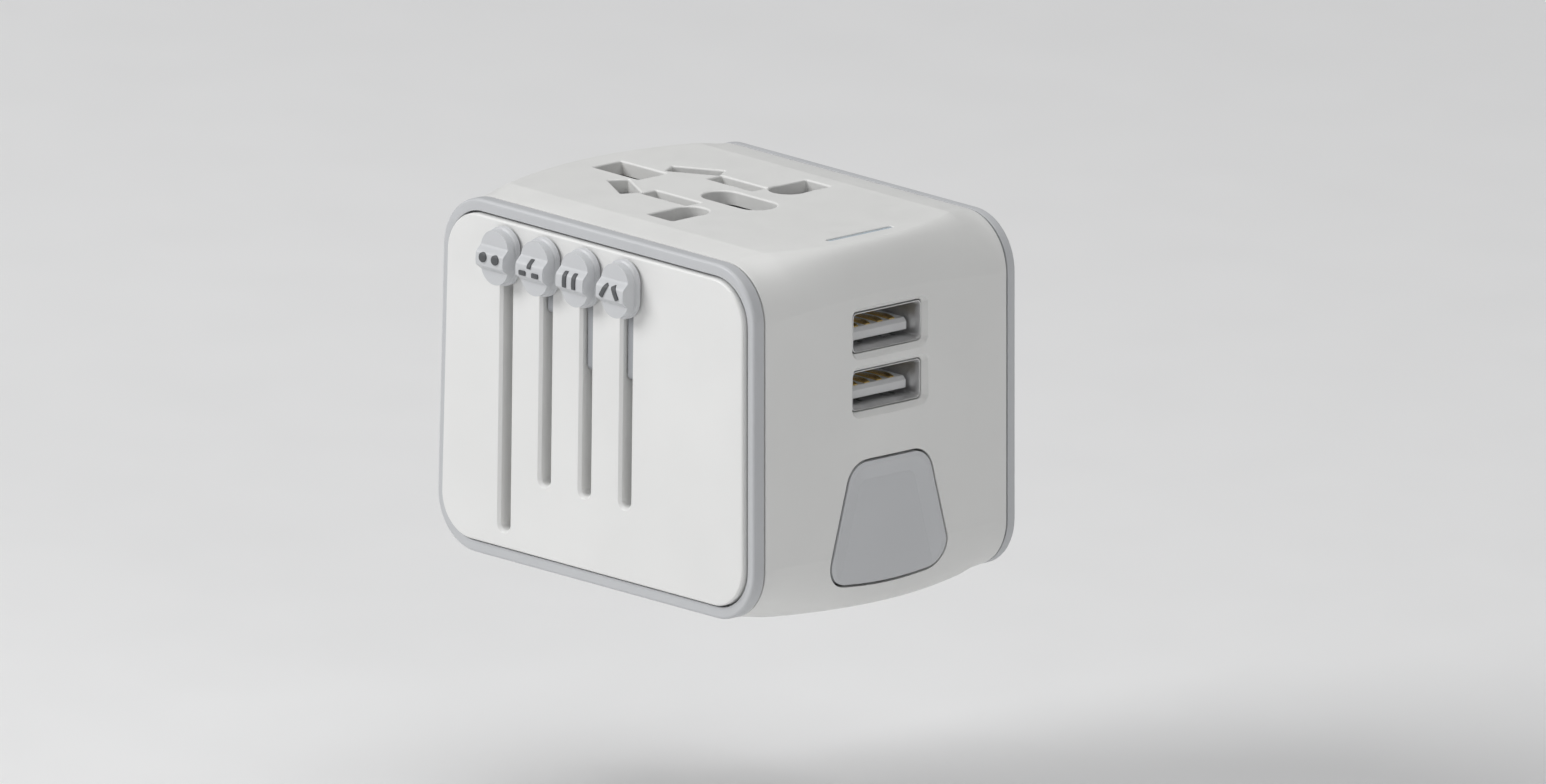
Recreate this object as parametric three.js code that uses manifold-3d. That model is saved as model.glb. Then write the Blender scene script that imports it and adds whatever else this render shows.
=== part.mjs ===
// Universal travel adapter: four slide-out plugs, a multi-standard socket face, two USB ports.
// Millimetres, +Z up. x runs along the front, y runs from the front to the back.
// Shapes are laid out around the middle of the body. The finished group is lifted at the end, so
// that its origin is the middle of the plug face, which is the underside.
import * as THREE from 'three';
import { mergeVertices } from 'three/addons/utils/BufferGeometryUtils.js';
import Module from 'manifold-3d';

const wasm = await Module();
wasm.setup();

// ---------------------------------------------------------------- driving dimensions
const HALF_WIDTH = 32.5; // side face at mid height, where it meets the front and the rear
const SIDE_BULGE = 1.0; // how far the side faces swell out half way back
const DRAFT = 0.0166; // how much wider the body grows for each millimetre down
const HALF_DEPTH = 23.25; // housing, without its front and rear covers
const FACE_HEIGHT = 26.44; // socket face above the middle, plug face below it
const EDGE_HEIGHT = 25.75; // top and bottom edges at the covers
const FACE_HALF_DEPTH = 18.0; // flat part of the socket and plug faces
const FACE_HALF_WIDTH = 30.14;
const FACE_EDGE_RADIUS = 45; // plan radius of the long side edges of those faces
const CORNER_RADIUS = 7.9;
const TANGENT_HEIGHT = 17.8; // where the rounded edges run into the side faces
const TANGENT_RISE = 1.7; // how much higher that is half way back, on the upper edge
const WALL = 2.0;
const SEAM = 0.25; // open joint line between the housing and a cover
const GAP = 0.3; // clearance between pieces
const OVER = 1; // how far a cutting shape runs past what it cuts
const OVERLAP = 0.2; // how far two joined shapes run into each other
const PLAY = 0.15; // clearance of a piece in the seat that holds it
const TINY = 0.01; // keeps edges of cutting shapes off the edges they meet
const WELD = 1e-4; // points closer than this are one point
const SIDE_CUT = [28, 36]; // from inside the side wall to outside it

// Distances from the middle at which the body's section is taken.
const OUTER_STATIONS = [HALF_DEPTH, 20.5, FACE_HALF_DEPTH, 14, 9.5, 5];
const INNER_STATIONS = [HALF_DEPTH, FACE_HALF_DEPTH, 9.5];
const BUTTON_STATIONS = [12, 8, 4];

// Outlines of the covers and panels: half width, half height, corner radius.
const COVER = [HALF_WIDTH, EDGE_HEIGHT, CORNER_RADIUS];
const PANEL = [30.85, 23.7, 6.15];
const COVER_BAND = { front: 1.73, rear: 1.32 }; // straight rim of each cover
const COVER_ROUND = 0.51; // rounded edge after the rim
const ROUND_MIDDLE = 0.7; // share of a rounded edge's size at its middle
const PANEL_PROUD = 0.7; // panel above the cover's ledge
const PANEL_EDGE = 0.35; // softened edge of the panel
const WEB = 0.6; // cover's flange behind the panel
const SPIGOT_DEPTH = 1.9; // cover's rim that enters the housing
const SPIGOT_WALL = 1.6;
const BOSS_DEPTH = 1.4; // thick middle of each panel, which carries the slots
const COVER_BORE = [15, 30]; // depths between which holes through a cover are cut

const SLOT_WIDTH = 2.0;
const SLOT_TOP = 22.4;
const STEM_WIDTH = 1.4;
const STEM_SET_BACK = 1.0; // stem behind the panel's surface
const STEM_TOP = 21.5;
const STEM_BACK = -20.5;
const STEM_ROUND = 0.9; // rounded lower end
const STEM_CLEARANCE = 0.6; // stem above the slot's end when the plug is out

// Slider button: a flat thumb rest with a raised ridge across it.
const BUTTON = { width: 6.3, top: 23.2, bottom: 14.6, thickness: 2.4, edge: 0.7, steps: 7 };
const RIDGE = { thickness: 3.4, crease: 16.9, low: 17.7, high: 19.3, end: 20.3 };

// Each plug: where its slider runs, how far down its stem shows at rest, where its slot ends.
const PLUGS = {
  eu: { x: -18.18, stemBottom: 15.0, slotBottom: -21.2 },
  uk: { x: -9.96, stemBottom: 11.8, slotBottom: -13.1 },
  us: { x: -1.67, stemBottom: 5.1, slotBottom: -13.1 },
  au: { x: 6.66, stemBottom: 5.2, slotBottom: -13.1 },
};
const travelOf = (plug) => plug.stemBottom - plug.slotBottom - STEM_CLEARANCE;
const UPRIGHT = { half: 1.2, front: -21, back: -18, top: 19 }; // joins a stem to its carrier

// Pins hang through holes in their carrier, from a head on top.
const PIN_HEAD = { grow: 0.4, lift: 0.2, height: 1 };
const PIN_TAPER = { length: 1.5, inset: 0.2 };

// European plug: a hollow base that slides out of the body and carries two round pins.
const EU_BASE = {
  x: -19.5, halfWidth: 6.85, halfLength: 17.5, flatHalf: 12.5, tipHalf: 3.0, corner: 1.5,
  bottom: -7.2, height: 21, floor: 2.0, wall: 1.5, flange: 0.8, rim: 1.5,
};
const EU_ARM = { half: 1.4, reach: -16.4, rise: 1.2 };
const EU_PIN = {
  spacing: 19, radius: 2, length: 19, nose: 1.2, shoulder: 1.7, tip: 1.0, head: 2.9, headHeight: 1.4,
};

// British plug: two flat live pins and a longer earth pin.
const UK_BAR = { bottom: 0.5, top: 5.5, left: -11.2, right: -5.5, halfLength: 14.5 };
const UK_ARM = { near: 9.5, far: 13.0, half: 2.0 };
const UK_PAD = { left: 4.9, right: 4.3, half: 3.4 };
const UK_LIVE = { x: -8.0, y: 11.1, width: 4, depth: 6.35, length: 17.7, corner: 0.4 };
const UK_EARTH = { x: 14.2, y: 0, width: 8, depth: 4, length: 22.73, corner: 0.4 };

// American plug: two parallel blades.
const FLAT_CARRIER = { bottom: -6, top: -1 };
const US_BAR = { half: 3.8, halfLength: 8.3 };
const US_BLADE = { x: -1.0, y: 6.35, width: 6.35, depth: 1.5, length: 16, corner: 0.2 };

// Australian plug: two blades set as a V.
const AU_PLATE = { left: 18.2, right: 26.4, halfLength: 11.5, notch: 19.3, notchHalf: 4.3 };
const AU_ARM = { near: -17.0, far: -12.6 };
const AU_BLADE = { x: 22.0, y: 6.85, width: 6.35, depth: 1.6, length: 17.06, slant: 30 };

// Socket face: openings for the plugs that go in.
const HOLE_CORNER = 0.25;
const UK_EARTH_HOLE = { x: -20.95, width: 9.5, depth: 5.5 };
const AU_HOLE = { x: -14.7, y: 6.85, width: 7.8, depth: 3.0, slant: 29.5 };
const US_HOLE = { x: -5.6, y: 6.35, width: 9.4, depth: 2.9 };
const LIVE_HOLE = { x: 1.65, width: 5.2, near: 9.5, far: 15.3, radius: 2.75 };
const CENTRE_HOLE = { x: 1.75, width: 12.8, depth: 5.8 };
const LENS = { x: 26.6, length: 12.7, width: 1.0, depth: 5.0, gap: 0.08, sunk: 0.12 };
const LENS_BASE = { half: 1.6, halfLength: 7.5, step: 0.5 };

// Inside the socket: the core that the openings run on into, and the brass contacts below it.
const SOCKET_CORE = { x: -8.3, width: 37.6, depth: 35, radius: 3, bottom: 20.6 };
const ROW_CONTACT = {
  y: 17, half: 0.35, left: -17, right: 5.2, bottom: 15.5, top: 20.2, leafHalf: 0.2, leafReach: 6,
  leaves: [[AU_HOLE.x, 2.2], [US_HOLE.x, 1.9], [LIVE_HOLE.x, 3.1]],
};
const EARTH_CONTACT = { half: 3.2, near: 2.55, far: 2.95, bottom: 9, top: 20.2, bridge: 18.4, tab: 1.0 };

// USB ports on the right side.
const USB_HEIGHTS = { upper: 14.0, lower: 5.5 };
const USB_OPENING = { width: 14.5, height: 7.2, radius: 1.2 };
const USB_SHELL = { width: 13.2, height: 5.8, wall: 0.4, radius: 0.8, face: 32.4, length: 11.6, end: 1.2 };
const USB_WINDOW = { places: [-3.2, 3.2], half: 1.1, near: 3, far: 8 };
const USB_TONGUE = { width: 11.4, height: 1.7, drop: 0.85, setBack: 2.0 };
const USB_RIB = { places: [-3.5, -1.2, 1.2, 3.5], half: 0.5, proud: 0.2, setBack: 0.8 };
const USB_BOARD = { x: 19.0, thickness: 1.4, halfWidth: 13, bottom: 0.9, top: 19 };

// Charger parts behind the ports, and the fuse with its clips.
const TRANSFORMER = { x: [10.4, 18.4], y: [-8, 8], z: [7.2, 20] };
const CAPACITOR = { x: 14.2, y: -14.6, radius: 4, z: [8, 20] };
const FUSE = { y: 18.2, z: 10, radius: 2.6, x: [8, 28] };
const FUSE_CLIPS = { left: 8.6, right: 24.4 };
const FUSE_CLIP = { length: 3, half: 3.4, top: 1.4, mouth: 2.2 };

// Release buttons, one on each side: a trapezium with a dished face.
const RELEASE = {
  top: -4.7, topHalf: 7.2, low: -18, lowHalf: 10.85, corner: -21.9, bottom: -23.0,
  radius: 3.6, lowRadius: 3.4, bottomRadius: 65, dishRadius: 1.6,
};
const RELEASE_GAP = 0.35;
const RELEASE_BACK = 30.5;
const RELEASE_DISH = 32.85;
const RELEASE_BEVEL = 2.8;
const RELEASE_RUN_OUT = 6; // how far the dish runs past the button's lower edge
const RELEASE_RAIL = { face: 29.8, top: -9, bottom: -21, halfLength: 8.5 };
const RELEASE_SPRING = { x: 27.6, thickness: 0.35, bow: 0.2, halfLength: 9, height: 4, z: -14 };

// Case screws behind the rear panel, and the posts that they enter.
const SCREW = { x: 26.2, z: 19.5, head: 4.4, shank: 2.0, length: 5.2, headDepth: 1.2, sunk: 0.25 };
const SCREW_CORNERS = [[1, 1], [-1, 1], [-1, -1], [1, -1]];
const SCREW_CROSS = { half: 1.3, slotHalf: 0.25, depth: 0.6 };
const SCREW_BORE = [18, 30];
const SCREW_POST = { radius: 2.6, depth: [18.6, 21.2], reach: 31, ribHalf: 1.2 };

const MATERIALS = {
  housing: { color: 0xf1f1ee, roughness: 0.5, metalness: 0 },
  trim: { color: 0xdfe1e3, roughness: 0.45, metalness: 0 },
  slider: { color: 0xe6e7e8, roughness: 0.4, metalness: 0 },
  inner: { color: 0xc9ccd0, roughness: 0.6, metalness: 0 },
  dark: { color: 0x2a2c30, roughness: 0.5, metalness: 0 },
  nickel: { color: 0xc4c6c8, roughness: 0.25, metalness: 1 },
  brass: { color: 0xc8a352, roughness: 0.3, metalness: 1 },
  steel: { color: 0x9a9da1, roughness: 0.35, metalness: 1 },
  board: { color: 0x1f6b3f, roughness: 0.5, metalness: 0 },
  lens: { color: 0x9fc8e8, roughness: 0.2, metalness: 0 },
  ceramic: { color: 0xe8e4d8, roughness: 0.6, metalness: 0 },
};

// ---------------------------------------------------------------- solids and their joins
const adapter = new THREE.Group();

function toSolid(geometry) {
  const bare = geometry.index ? geometry.toNonIndexed() : geometry.clone();
  bare.deleteAttribute('normal');
  bare.deleteAttribute('uv');
  const merged = mergeVertices(bare, WELD);
  const vertProperties = new Float32Array(merged.attributes.position.array);
  const triVerts = new Uint32Array(merged.index.array);
  return new wasm.Manifold(new wasm.Mesh({ numProp: 3, vertProperties, triVerts }));
}

function toGeometry(solid) {
  const mesh = solid.getMesh();
  const geometry = new THREE.BufferGeometry();
  geometry.setAttribute('position', new THREE.BufferAttribute(mesh.vertProperties, 3));
  geometry.setIndex(new THREE.BufferAttribute(mesh.triVerts, 1));
  geometry.computeVertexNormals();
  return geometry;
}

function add(name, solid, material) {
  const mesh = new THREE.Mesh(toGeometry(solid), new THREE.MeshStandardMaterial(MATERIALS[material]));
  mesh.name = name;
  adapter.add(mesh);
}

const joined = (solids) => solids.reduce((sum, solid) => sum.add(solid));
const cut = (body, tools) => tools.reduce((rest, tool) => rest.subtract(tool), body);
const around = (middle, half) => [middle - half, middle + half];
const sided = (sign, [near, far]) => (sign < 0 ? [-far, -near] : [near, far]);
const bothWays = (distances) => [...distances.map((y) => -y), 0, ...[...distances].reverse()];
const shrunk = ([halfWidth, halfHeight, radius], by) => [halfWidth - by, halfHeight - by, radius - by];

function box([x0, x1], [y0, y1], [z0, z1]) {
  const geometry = new THREE.BoxGeometry(x1 - x0, y1 - y0, z1 - z0);
  geometry.translate((x0 + x1) / 2, (y0 + y1) / 2, (z0 + z1) / 2);
  return toSolid(geometry);
}

const AXES = {
  x: [new THREE.Vector3(0, 1, 0), new THREE.Vector3(0, 0, 1), new THREE.Vector3(1, 0, 0)],
  y: [new THREE.Vector3(1, 0, 0), new THREE.Vector3(0, 0, 1), new THREE.Vector3(0, -1, 0)],
  z: [new THREE.Vector3(1, 0, 0), new THREE.Vector3(0, 1, 0), new THREE.Vector3(0, 0, 1)],
};

// An outline pushed along x, y or z from one level to another. Its own two directions are the
// other two axes, in the order y z, x z or x y.
function prism(shape, axis, [from, to]) {
  const geometry = new THREE.ExtrudeGeometry(shape, { depth: to - from, bevelEnabled: false });
  geometry.applyMatrix4(new THREE.Matrix4().makeBasis(...AXES[axis]));
  const shift = AXES[axis][2].clone().multiplyScalar(axis === 'y' ? -to : from);
  geometry.translate(shift.x, shift.y, shift.z);
  return toSolid(geometry);
}

function cylinder(axis, [a, b], radius, [from, to], sides = 20) {
  const shape = new THREE.Shape();
  for (let i = 0; i < sides; i += 1) {
    const angle = (2 * Math.PI * i) / sides;
    const point = [a + radius * Math.cos(angle), b + radius * Math.sin(angle)];
    if (i === 0) shape.moveTo(...point);
    else shape.lineTo(...point);
  }
  return prism(shape, axis, [from, to]);
}

function polygon(points) {
  const shape = new THREE.Shape();
  points.forEach(([u, v], i) => (i === 0 ? shape.moveTo(u, v) : shape.lineTo(u, v)));
  return shape;
}

// A polygon with rounded corners: each corner is {u, v, r}, counter-clockwise.
function roundedPolygon(corners, steps = 5) {
  const points = [];
  corners.forEach((corner, i) => {
    const before = corners[(i + corners.length - 1) % corners.length];
    const after = corners[(i + 1) % corners.length];
    const here = new THREE.Vector2(corner.u, corner.v);
    const back = new THREE.Vector2(before.u, before.v).sub(here).normalize();
    const ahead = new THREE.Vector2(after.u, after.v).sub(here).normalize();
    const half = Math.acos(THREE.MathUtils.clamp(back.dot(ahead), -1, 1)) / 2;
    if (corner.r === 0) {
      points.push([corner.u, corner.v]);
      return;
    }
    const centre = back.clone().add(ahead).normalize().multiplyScalar(corner.r / Math.sin(half)).add(here);
    const start = back.clone().multiplyScalar(corner.r / Math.tan(half)).add(here).sub(centre);
    const sweep = Math.PI - 2 * half;
    for (let k = 0; k <= steps; k += 1) {
      const turned = start.clone().rotateAround(new THREE.Vector2(), (sweep * k) / steps);
      points.push([centre.x + turned.x, centre.y + turned.y]);
    }
  });
  return polygon(points);
}

function roundedRectangle([u, v], width, height, radius, steps = 5) {
  const corners = [[1, -1], [1, 1], [-1, 1], [-1, -1]].map(([su, sv]) => (
    { u: u + (su * width) / 2, v: v + (sv * height) / 2, r: radius }
  ));
  return roundedPolygon(corners, steps);
}

// The outline of a slot, with half-round ends.
function slotOutline(at, width, height, steps = 5) {
  return roundedRectangle(at, width, height, Math.min(width, height) / 2 - TINY, steps);
}

function slantedRectangle([u, v], width, height, degrees) {
  const corners = [[1, -1], [1, 1], [-1, 1], [-1, -1]].map(([su, sv]) => {
    const corner = new THREE.Vector2((su * width) / 2, (sv * height) / 2);
    corner.rotateAround(new THREE.Vector2(), THREE.MathUtils.degToRad(degrees));
    return [u + corner.x, v + corner.y];
  });
  return polygon(corners);
}

// A skin through rings of points in the x z plane, closed at both ends. Rings run front to back.
function loft(rings) {
  const count = rings[0].points.length;
  const position = rings.flatMap((ring) => ring.points.flatMap(([x, z]) => [x, ring.y, z]));
  const index = [];
  for (let k = 1; k < count - 1; k += 1) {
    const last = (rings.length - 1) * count;
    index.push(0, k, k + 1);
    index.push(last, last + k + 1, last + k);
  }
  for (let r = 0; r < rings.length - 1; r += 1) {
    for (let k = 0; k < count; k += 1) {
      const a = r * count + k;
      const b = r * count + ((k + 1) % count);
      index.push(a, a + count, b);
      index.push(b, a + count, b + count);
    }
  }
  const geometry = new THREE.BufferGeometry();
  geometry.setAttribute('position', new THREE.Float32BufferAttribute(position, 3));
  geometry.setIndex(index);
  return toSolid(geometry);
}

// Four quarter-ellipse corners around a drafted section, counter-clockwise seen from the front.
function sectionRing({ side, top, cornerX, upper, lower }, steps = 6) {
  const quarter = (sign, centre, height, fromSide) => {
    const points = [];
    for (let k = 0; k <= steps; k += 1) {
      const turn = ((fromSide ? k : steps - k) / steps) * (Math.PI / 2);
      const x = cornerX + (side - cornerX) * Math.cos(turn);
      const z = centre + (height - centre) * Math.sin(turn);
      points.push([sign * (x - DRAFT * z), z]);
    }
    return points;
  };
  return [
    ...quarter(1, -lower, -top, false),
    ...quarter(1, upper, top, true),
    ...quarter(-1, upper, top, false),
    ...quarter(-1, -lower, -top, true),
  ];
}

// ---------------------------------------------------------------- body section
function faceHeightAt(y) {
  const slope = (FACE_HEIGHT - EDGE_HEIGHT) / (HALF_DEPTH - FACE_HALF_DEPTH);
  return FACE_HEIGHT - slope * Math.max(0, Math.abs(y) - FACE_HALF_DEPTH);
}

function faceHalfWidthAt(y) {
  const arc = (at) => FACE_HALF_WIDTH - (FACE_EDGE_RADIUS - Math.sqrt(FACE_EDGE_RADIUS ** 2 - at ** 2));
  const depth = Math.abs(y);
  if (depth <= FACE_HALF_DEPTH) return arc(depth);
  const share = (depth - FACE_HALF_DEPTH) / (HALF_DEPTH - FACE_HALF_DEPTH);
  return THREE.MathUtils.lerp(arc(FACE_HALF_DEPTH), HALF_WIDTH - CORNER_RADIUS, share);
}

function housingRing(y, inset) {
  const swell = 1 - (y / HALF_DEPTH) ** 2;
  return {
    y,
    points: sectionRing({
      side: HALF_WIDTH + SIDE_BULGE * swell - inset,
      top: faceHeightAt(y) - inset,
      cornerX: faceHalfWidthAt(y) - inset / 2,
      upper: TANGENT_HEIGHT + TANGENT_RISE * swell,
      lower: TANGENT_HEIGHT,
    }),
  };
}

// The outline of the covers: a rounded rectangle with the body's draft.
function coverRing(y, halfWidth, halfHeight, radius) {
  const level = halfHeight - radius;
  const reach = { side: halfWidth, top: halfHeight };
  return { y, points: sectionRing({ ...reach, cornerX: halfWidth - radius, upper: level, lower: level }) };
}

// ---------------------------------------------------------------- openings of the socket face
// One cutter for each opening, a little wider all round where it passes the socket core.
function socketCutters(level, extra) {
  const through = (shape) => prism(shape, 'z', level);
  const widened = ({ width, depth }) => [width + 2 * extra, depth + 2 * extra];
  const liveFlat = { width: LIVE_HOLE.width, depth: LIVE_HOLE.far - LIVE_HOLE.near };
  const liveMiddle = (LIVE_HOLE.far + LIVE_HOLE.near) / 2;
  const pairs = [-1, 1].flatMap((sign) => [
    through(slantedRectangle([AU_HOLE.x, sign * AU_HOLE.y], ...widened(AU_HOLE), sign * AU_HOLE.slant)),
    through(roundedRectangle([US_HOLE.x, sign * US_HOLE.y], ...widened(US_HOLE), HOLE_CORNER, 2)),
    through(roundedRectangle([LIVE_HOLE.x, sign * liveMiddle], ...widened(liveFlat), HOLE_CORNER, 2)),
    cylinder('z', [LIVE_HOLE.x, sign * LIVE_HOLE.near], LIVE_HOLE.radius + extra, level),
  ]);
  return [
    through(roundedRectangle([UK_EARTH_HOLE.x, 0], ...widened(UK_EARTH_HOLE), HOLE_CORNER, 2)),
    through(slotOutline([CENTRE_HOLE.x, 0], ...widened(CENTRE_HOLE))),
    ...pairs,
  ];
}

function lensOutline(gap) {
  return slotOutline([LENS.x, 0], LENS.width - 2 * gap, LENS.length - 2 * gap, 3);
}

// ---------------------------------------------------------------- plug outlines seen from above
function euBaseOutline(grow) {
  const { x, halfWidth, halfLength, flatHalf, tipHalf, corner } = EU_BASE;
  const corners = [
    [tipHalf, -halfLength - grow], [halfWidth + grow, -flatHalf], [halfWidth + grow, flatHalf],
    [tipHalf, halfLength + grow], [-tipHalf, halfLength + grow], [-halfWidth - grow, flatHalf],
    [-halfWidth - grow, -flatHalf], [-tipHalf, -halfLength - grow],
  ];
  return roundedPolygon(corners.map(([u, v]) => ({ u: x + u, v, r: corner })), 3);
}

function pinOutline(pin, sign, grow) {
  const at = [pin.x, sign * pin.y];
  const size = [pin.width + 2 * grow, pin.depth + 2 * grow];
  if (pin.slant) return slantedRectangle(at, ...size, sign * pin.slant);
  return roundedRectangle(at, ...size, pin.corner, 2);
}

// ---------------------------------------------------------------- housing
// A run-out stretches the outline down along its slanted sides, for the dish in the button's face.
function releaseOutline(grow, runOut = 0) {
  const lean = (RELEASE.lowHalf - RELEASE.topHalf) / (RELEASE.top - RELEASE.low);
  const halfAt = (z) => RELEASE.topHalf + lean * (RELEASE.top - z) + grow;
  const top = RELEASE.top + grow;
  const corner = RELEASE.corner - grow - runOut;
  const radius = runOut > 0 ? RELEASE.dishRadius : RELEASE.radius + grow;
  const lowRadius = runOut > 0 ? RELEASE.dishRadius : RELEASE.lowRadius + grow;
  return roundedPolygon([
    { u: halfAt(corner), v: corner, r: lowRadius }, { u: halfAt(top), v: top, r: radius },
    { u: -halfAt(top), v: top, r: radius }, { u: -halfAt(corner), v: corner, r: lowRadius },
    { u: 0, v: RELEASE.bottom - grow - runOut, r: RELEASE.bottomRadius },
  ]);
}

function screwPosts() {
  return SCREW_CORNERS.map(([sx, sz]) => {
    const { radius, depth, reach, ribHalf } = SCREW_POST;
    const post = cylinder('y', [sx * SCREW.x, sz * SCREW.z], radius, depth, 16);
    const rib = box(sided(sx, [SCREW.x, reach]), depth, around(sz * SCREW.z, ribHalf));
    return post.add(rib);
  });
}

function screwHoles(radius, depth) {
  return SCREW_CORNERS.map(([sx, sz]) => cylinder('y', [sx * SCREW.x, sz * SCREW.z], radius, depth, 16));
}

function makeHousing() {
  const outer = loft(bothWays(OUTER_STATIONS).map((y) => housingRing(y, 0)));
  const rings = bothWays(INNER_STATIONS).map((y) => housingRing(y, WALL));
  rings[0].y -= OVER;
  rings[rings.length - 1].y += OVER;
  const shell = outer.subtract(loft(rings));
  const face = [FACE_HEIGHT - WALL - OVER, FACE_HEIGHT + OVER];
  const base = [-FACE_HEIGHT - OVER, -FACE_HEIGHT + WALL + OVER];
  const { width, height, radius } = USB_OPENING;
  const onBothSides = (pin) => [-1, 1].map((sign) => pinOutline(pin, sign, GAP));
  const pairs = [UK_LIVE, US_BLADE, AU_BLADE].flatMap(onBothSides);
  const plugHoles = [euBaseOutline(GAP), pinOutline(UK_EARTH, 1, GAP), ...pairs];
  const usbHoles = Object.values(USB_HEIGHTS).map((z) => roundedRectangle([0, z], width, height, radius, 3));
  const openings = [
    ...socketCutters(face, 0),
    prism(lensOutline(0), 'z', face),
    ...plugHoles.map((outline) => prism(outline, 'z', base)),
    ...usbHoles.map((outline) => prism(outline, 'x', SIDE_CUT)),
    ...[-1, 1].map((sign) => prism(releaseOutline(RELEASE_GAP), 'x', sided(sign, SIDE_CUT))),
  ];
  const posted = joined([cut(shell, openings), ...screwPosts()]);
  add('housing', cut(posted, screwHoles(SCREW.shank / 2 + PLAY, SCREW_BORE)), 'housing');
}

// ---------------------------------------------------------------- front and rear covers
// facing is -1 for the front cover and 1 for the rear one.
function coverLevels(facing) {
  const band = facing < 0 ? COVER_BAND.front : COVER_BAND.rear;
  const ledge = HALF_DEPTH + band + COVER_ROUND;
  return { rim: HALF_DEPTH + SEAM, band: HALF_DEPTH + band, ledge, face: ledge + PANEL_PROUD };
}

function orderedLoft(facing, levels) {
  const rings = levels.map(([level, ...outline]) => coverRing(facing * level, ...outline));
  return loft(facing < 0 ? rings.reverse() : rings);
}

function coverPrism(facing, levels, outline) {
  return orderedLoft(facing, levels.map((level) => [level, ...outline]));
}

function makeBezel(name, facing) {
  const level = coverLevels(facing);
  const rim = orderedLoft(facing, [
    [level.rim, ...COVER],
    [level.band, ...COVER],
    [level.band + COVER_ROUND * ROUND_MIDDLE, ...shrunk(COVER, COVER_ROUND * (1 - ROUND_MIDDLE))],
    [level.ledge, ...shrunk(COVER, COVER_ROUND)],
  ]);
  const spigotOutline = shrunk(COVER, WALL + GAP);
  const window = coverPrism(facing, [level.rim + WEB, level.ledge + OVER], shrunk(PANEL, -GAP));
  const spigot = coverPrism(facing, [level.rim - SPIGOT_DEPTH, level.rim + OVERLAP], spigotOutline);
  const hollow = coverPrism(facing, COVER_BORE, shrunk(spigotOutline, SPIGOT_WALL));
  const bezel = cut(rim.subtract(window).add(spigot), [hollow]);
  const holes = facing > 0 ? screwHoles(SCREW.shank / 2 + GAP, SCREW_BORE) : [];
  add(name, cut(bezel, holes), 'trim');
}

function panelBlank(facing) {
  const level = coverLevels(facing);
  const back = level.rim + WEB + GAP;
  const plate = orderedLoft(facing, [
    [back, ...PANEL],
    [level.face - PANEL_EDGE, ...PANEL],
    [level.face, ...shrunk(PANEL, PANEL_EDGE)],
  ]);
  const bossOutline = shrunk(COVER, WALL + SPIGOT_WALL + 2 * GAP);
  return plate.add(coverPrism(facing, [back - BOSS_DEPTH, back + OVERLAP], bossOutline));
}

function makeFrontPanel() {
  const slots = Object.values(PLUGS).map((plug) => {
    const at = [plug.x, (SLOT_TOP + plug.slotBottom) / 2];
    return prism(slotOutline(at, SLOT_WIDTH, SLOT_TOP - plug.slotBottom), 'y', sided(-1, COVER_BORE));
  });
  add('front_panel', cut(panelBlank(-1), slots), 'housing');
}

function makeRearPanel() {
  const face = coverLevels(1).face;
  const counterbores = screwHoles(SCREW.head / 2 + GAP, [face - SCREW.headDepth - GAP, face + OVER]);
  const shanks = screwHoles(SCREW.shank / 2 + GAP, SCREW_BORE);
  add('rear_panel', cut(panelBlank(1), [...counterbores, ...shanks]), 'housing');
}

function makeScrews() {
  const top = coverLevels(1).face - SCREW.sunk;
  const seat = top - SCREW.headDepth;
  const recess = [top - SCREW_CROSS.depth, top + OVER];
  SCREW_CORNERS.forEach(([sx, sz], i) => {
    const [x, z] = [sx * SCREW.x, sz * SCREW.z];
    const head = cylinder('y', [x, z], SCREW.head / 2, [seat, top], 20);
    const shank = cylinder('y', [x, z], SCREW.shank / 2, [seat - SCREW.length, seat + OVERLAP], 12);
    const across = box(around(x, SCREW_CROSS.half), recess, around(z, SCREW_CROSS.slotHalf));
    const upright = box(around(x, SCREW_CROSS.slotHalf), recess, around(z, SCREW_CROSS.half));
    add(`case_screw_${i + 1}`, cut(head.add(shank), [across, upright]), 'steel');
  });
}

// ---------------------------------------------------------------- slider buttons and stems
const PANEL_FACE = -coverLevels(-1).face;
const STEM_FRONT = PANEL_FACE + STEM_SET_BACK;
const TENON = { low: 16, high: 21, back: STEM_FRONT + 1.3 };

function makeSliderButton(name, x) {
  const { width, top, bottom, thickness, edge, steps } = BUTTON;
  const back = PANEL_FACE - SEAM;
  const low = PANEL_FACE - thickness;
  const high = PANEL_FACE - RIDGE.thickness;
  const outline = slotOutline([x, (top + bottom) / 2], width, top - bottom, steps);
  const pill = prism(outline, 'y', [high - OVER, back]);
  const profile = polygon([
    [back + OVER, bottom - OVER], [back + OVER, top + OVER], [low + edge, top + TINY],
    [low, top - edge], [low, RIDGE.end], [high, RIDGE.high],
    [high, RIDGE.low], [low, RIDGE.crease], [low, bottom + edge], [low + edge, bottom - TINY],
  ]);
  const wedge = prism(profile, 'x', around(x, width));
  const tenon = box(around(x, STEM_WIDTH / 2), [back - OVERLAP, TENON.back], [TENON.low, TENON.high]);
  add(name, pill.intersect(wedge).add(tenon), 'slider');
}

// The web that runs in a slot, notched for the button's tenon.
function makeStem(plug) {
  const blade = prism(roundedPolygon([
    { u: STEM_BACK, v: plug.stemBottom, r: 0 }, { u: STEM_BACK, v: STEM_TOP, r: 0 },
    { u: STEM_FRONT, v: STEM_TOP, r: 0 }, { u: STEM_FRONT, v: plug.stemBottom, r: STEM_ROUND },
  ], 4), 'x', around(plug.x, STEM_WIDTH / 2));
  const across = around(plug.x, STEM_WIDTH);
  const notch = box(across, [STEM_FRONT - OVER, TENON.back + GAP], [TENON.low - GAP, TENON.high + GAP]);
  return blade.subtract(notch);
}

const makeUpright = (plug, bottom) => (
  box(around(plug.x, UPRIGHT.half), [UPRIGHT.front, UPRIGHT.back], [bottom, UPRIGHT.top])
);

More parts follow.
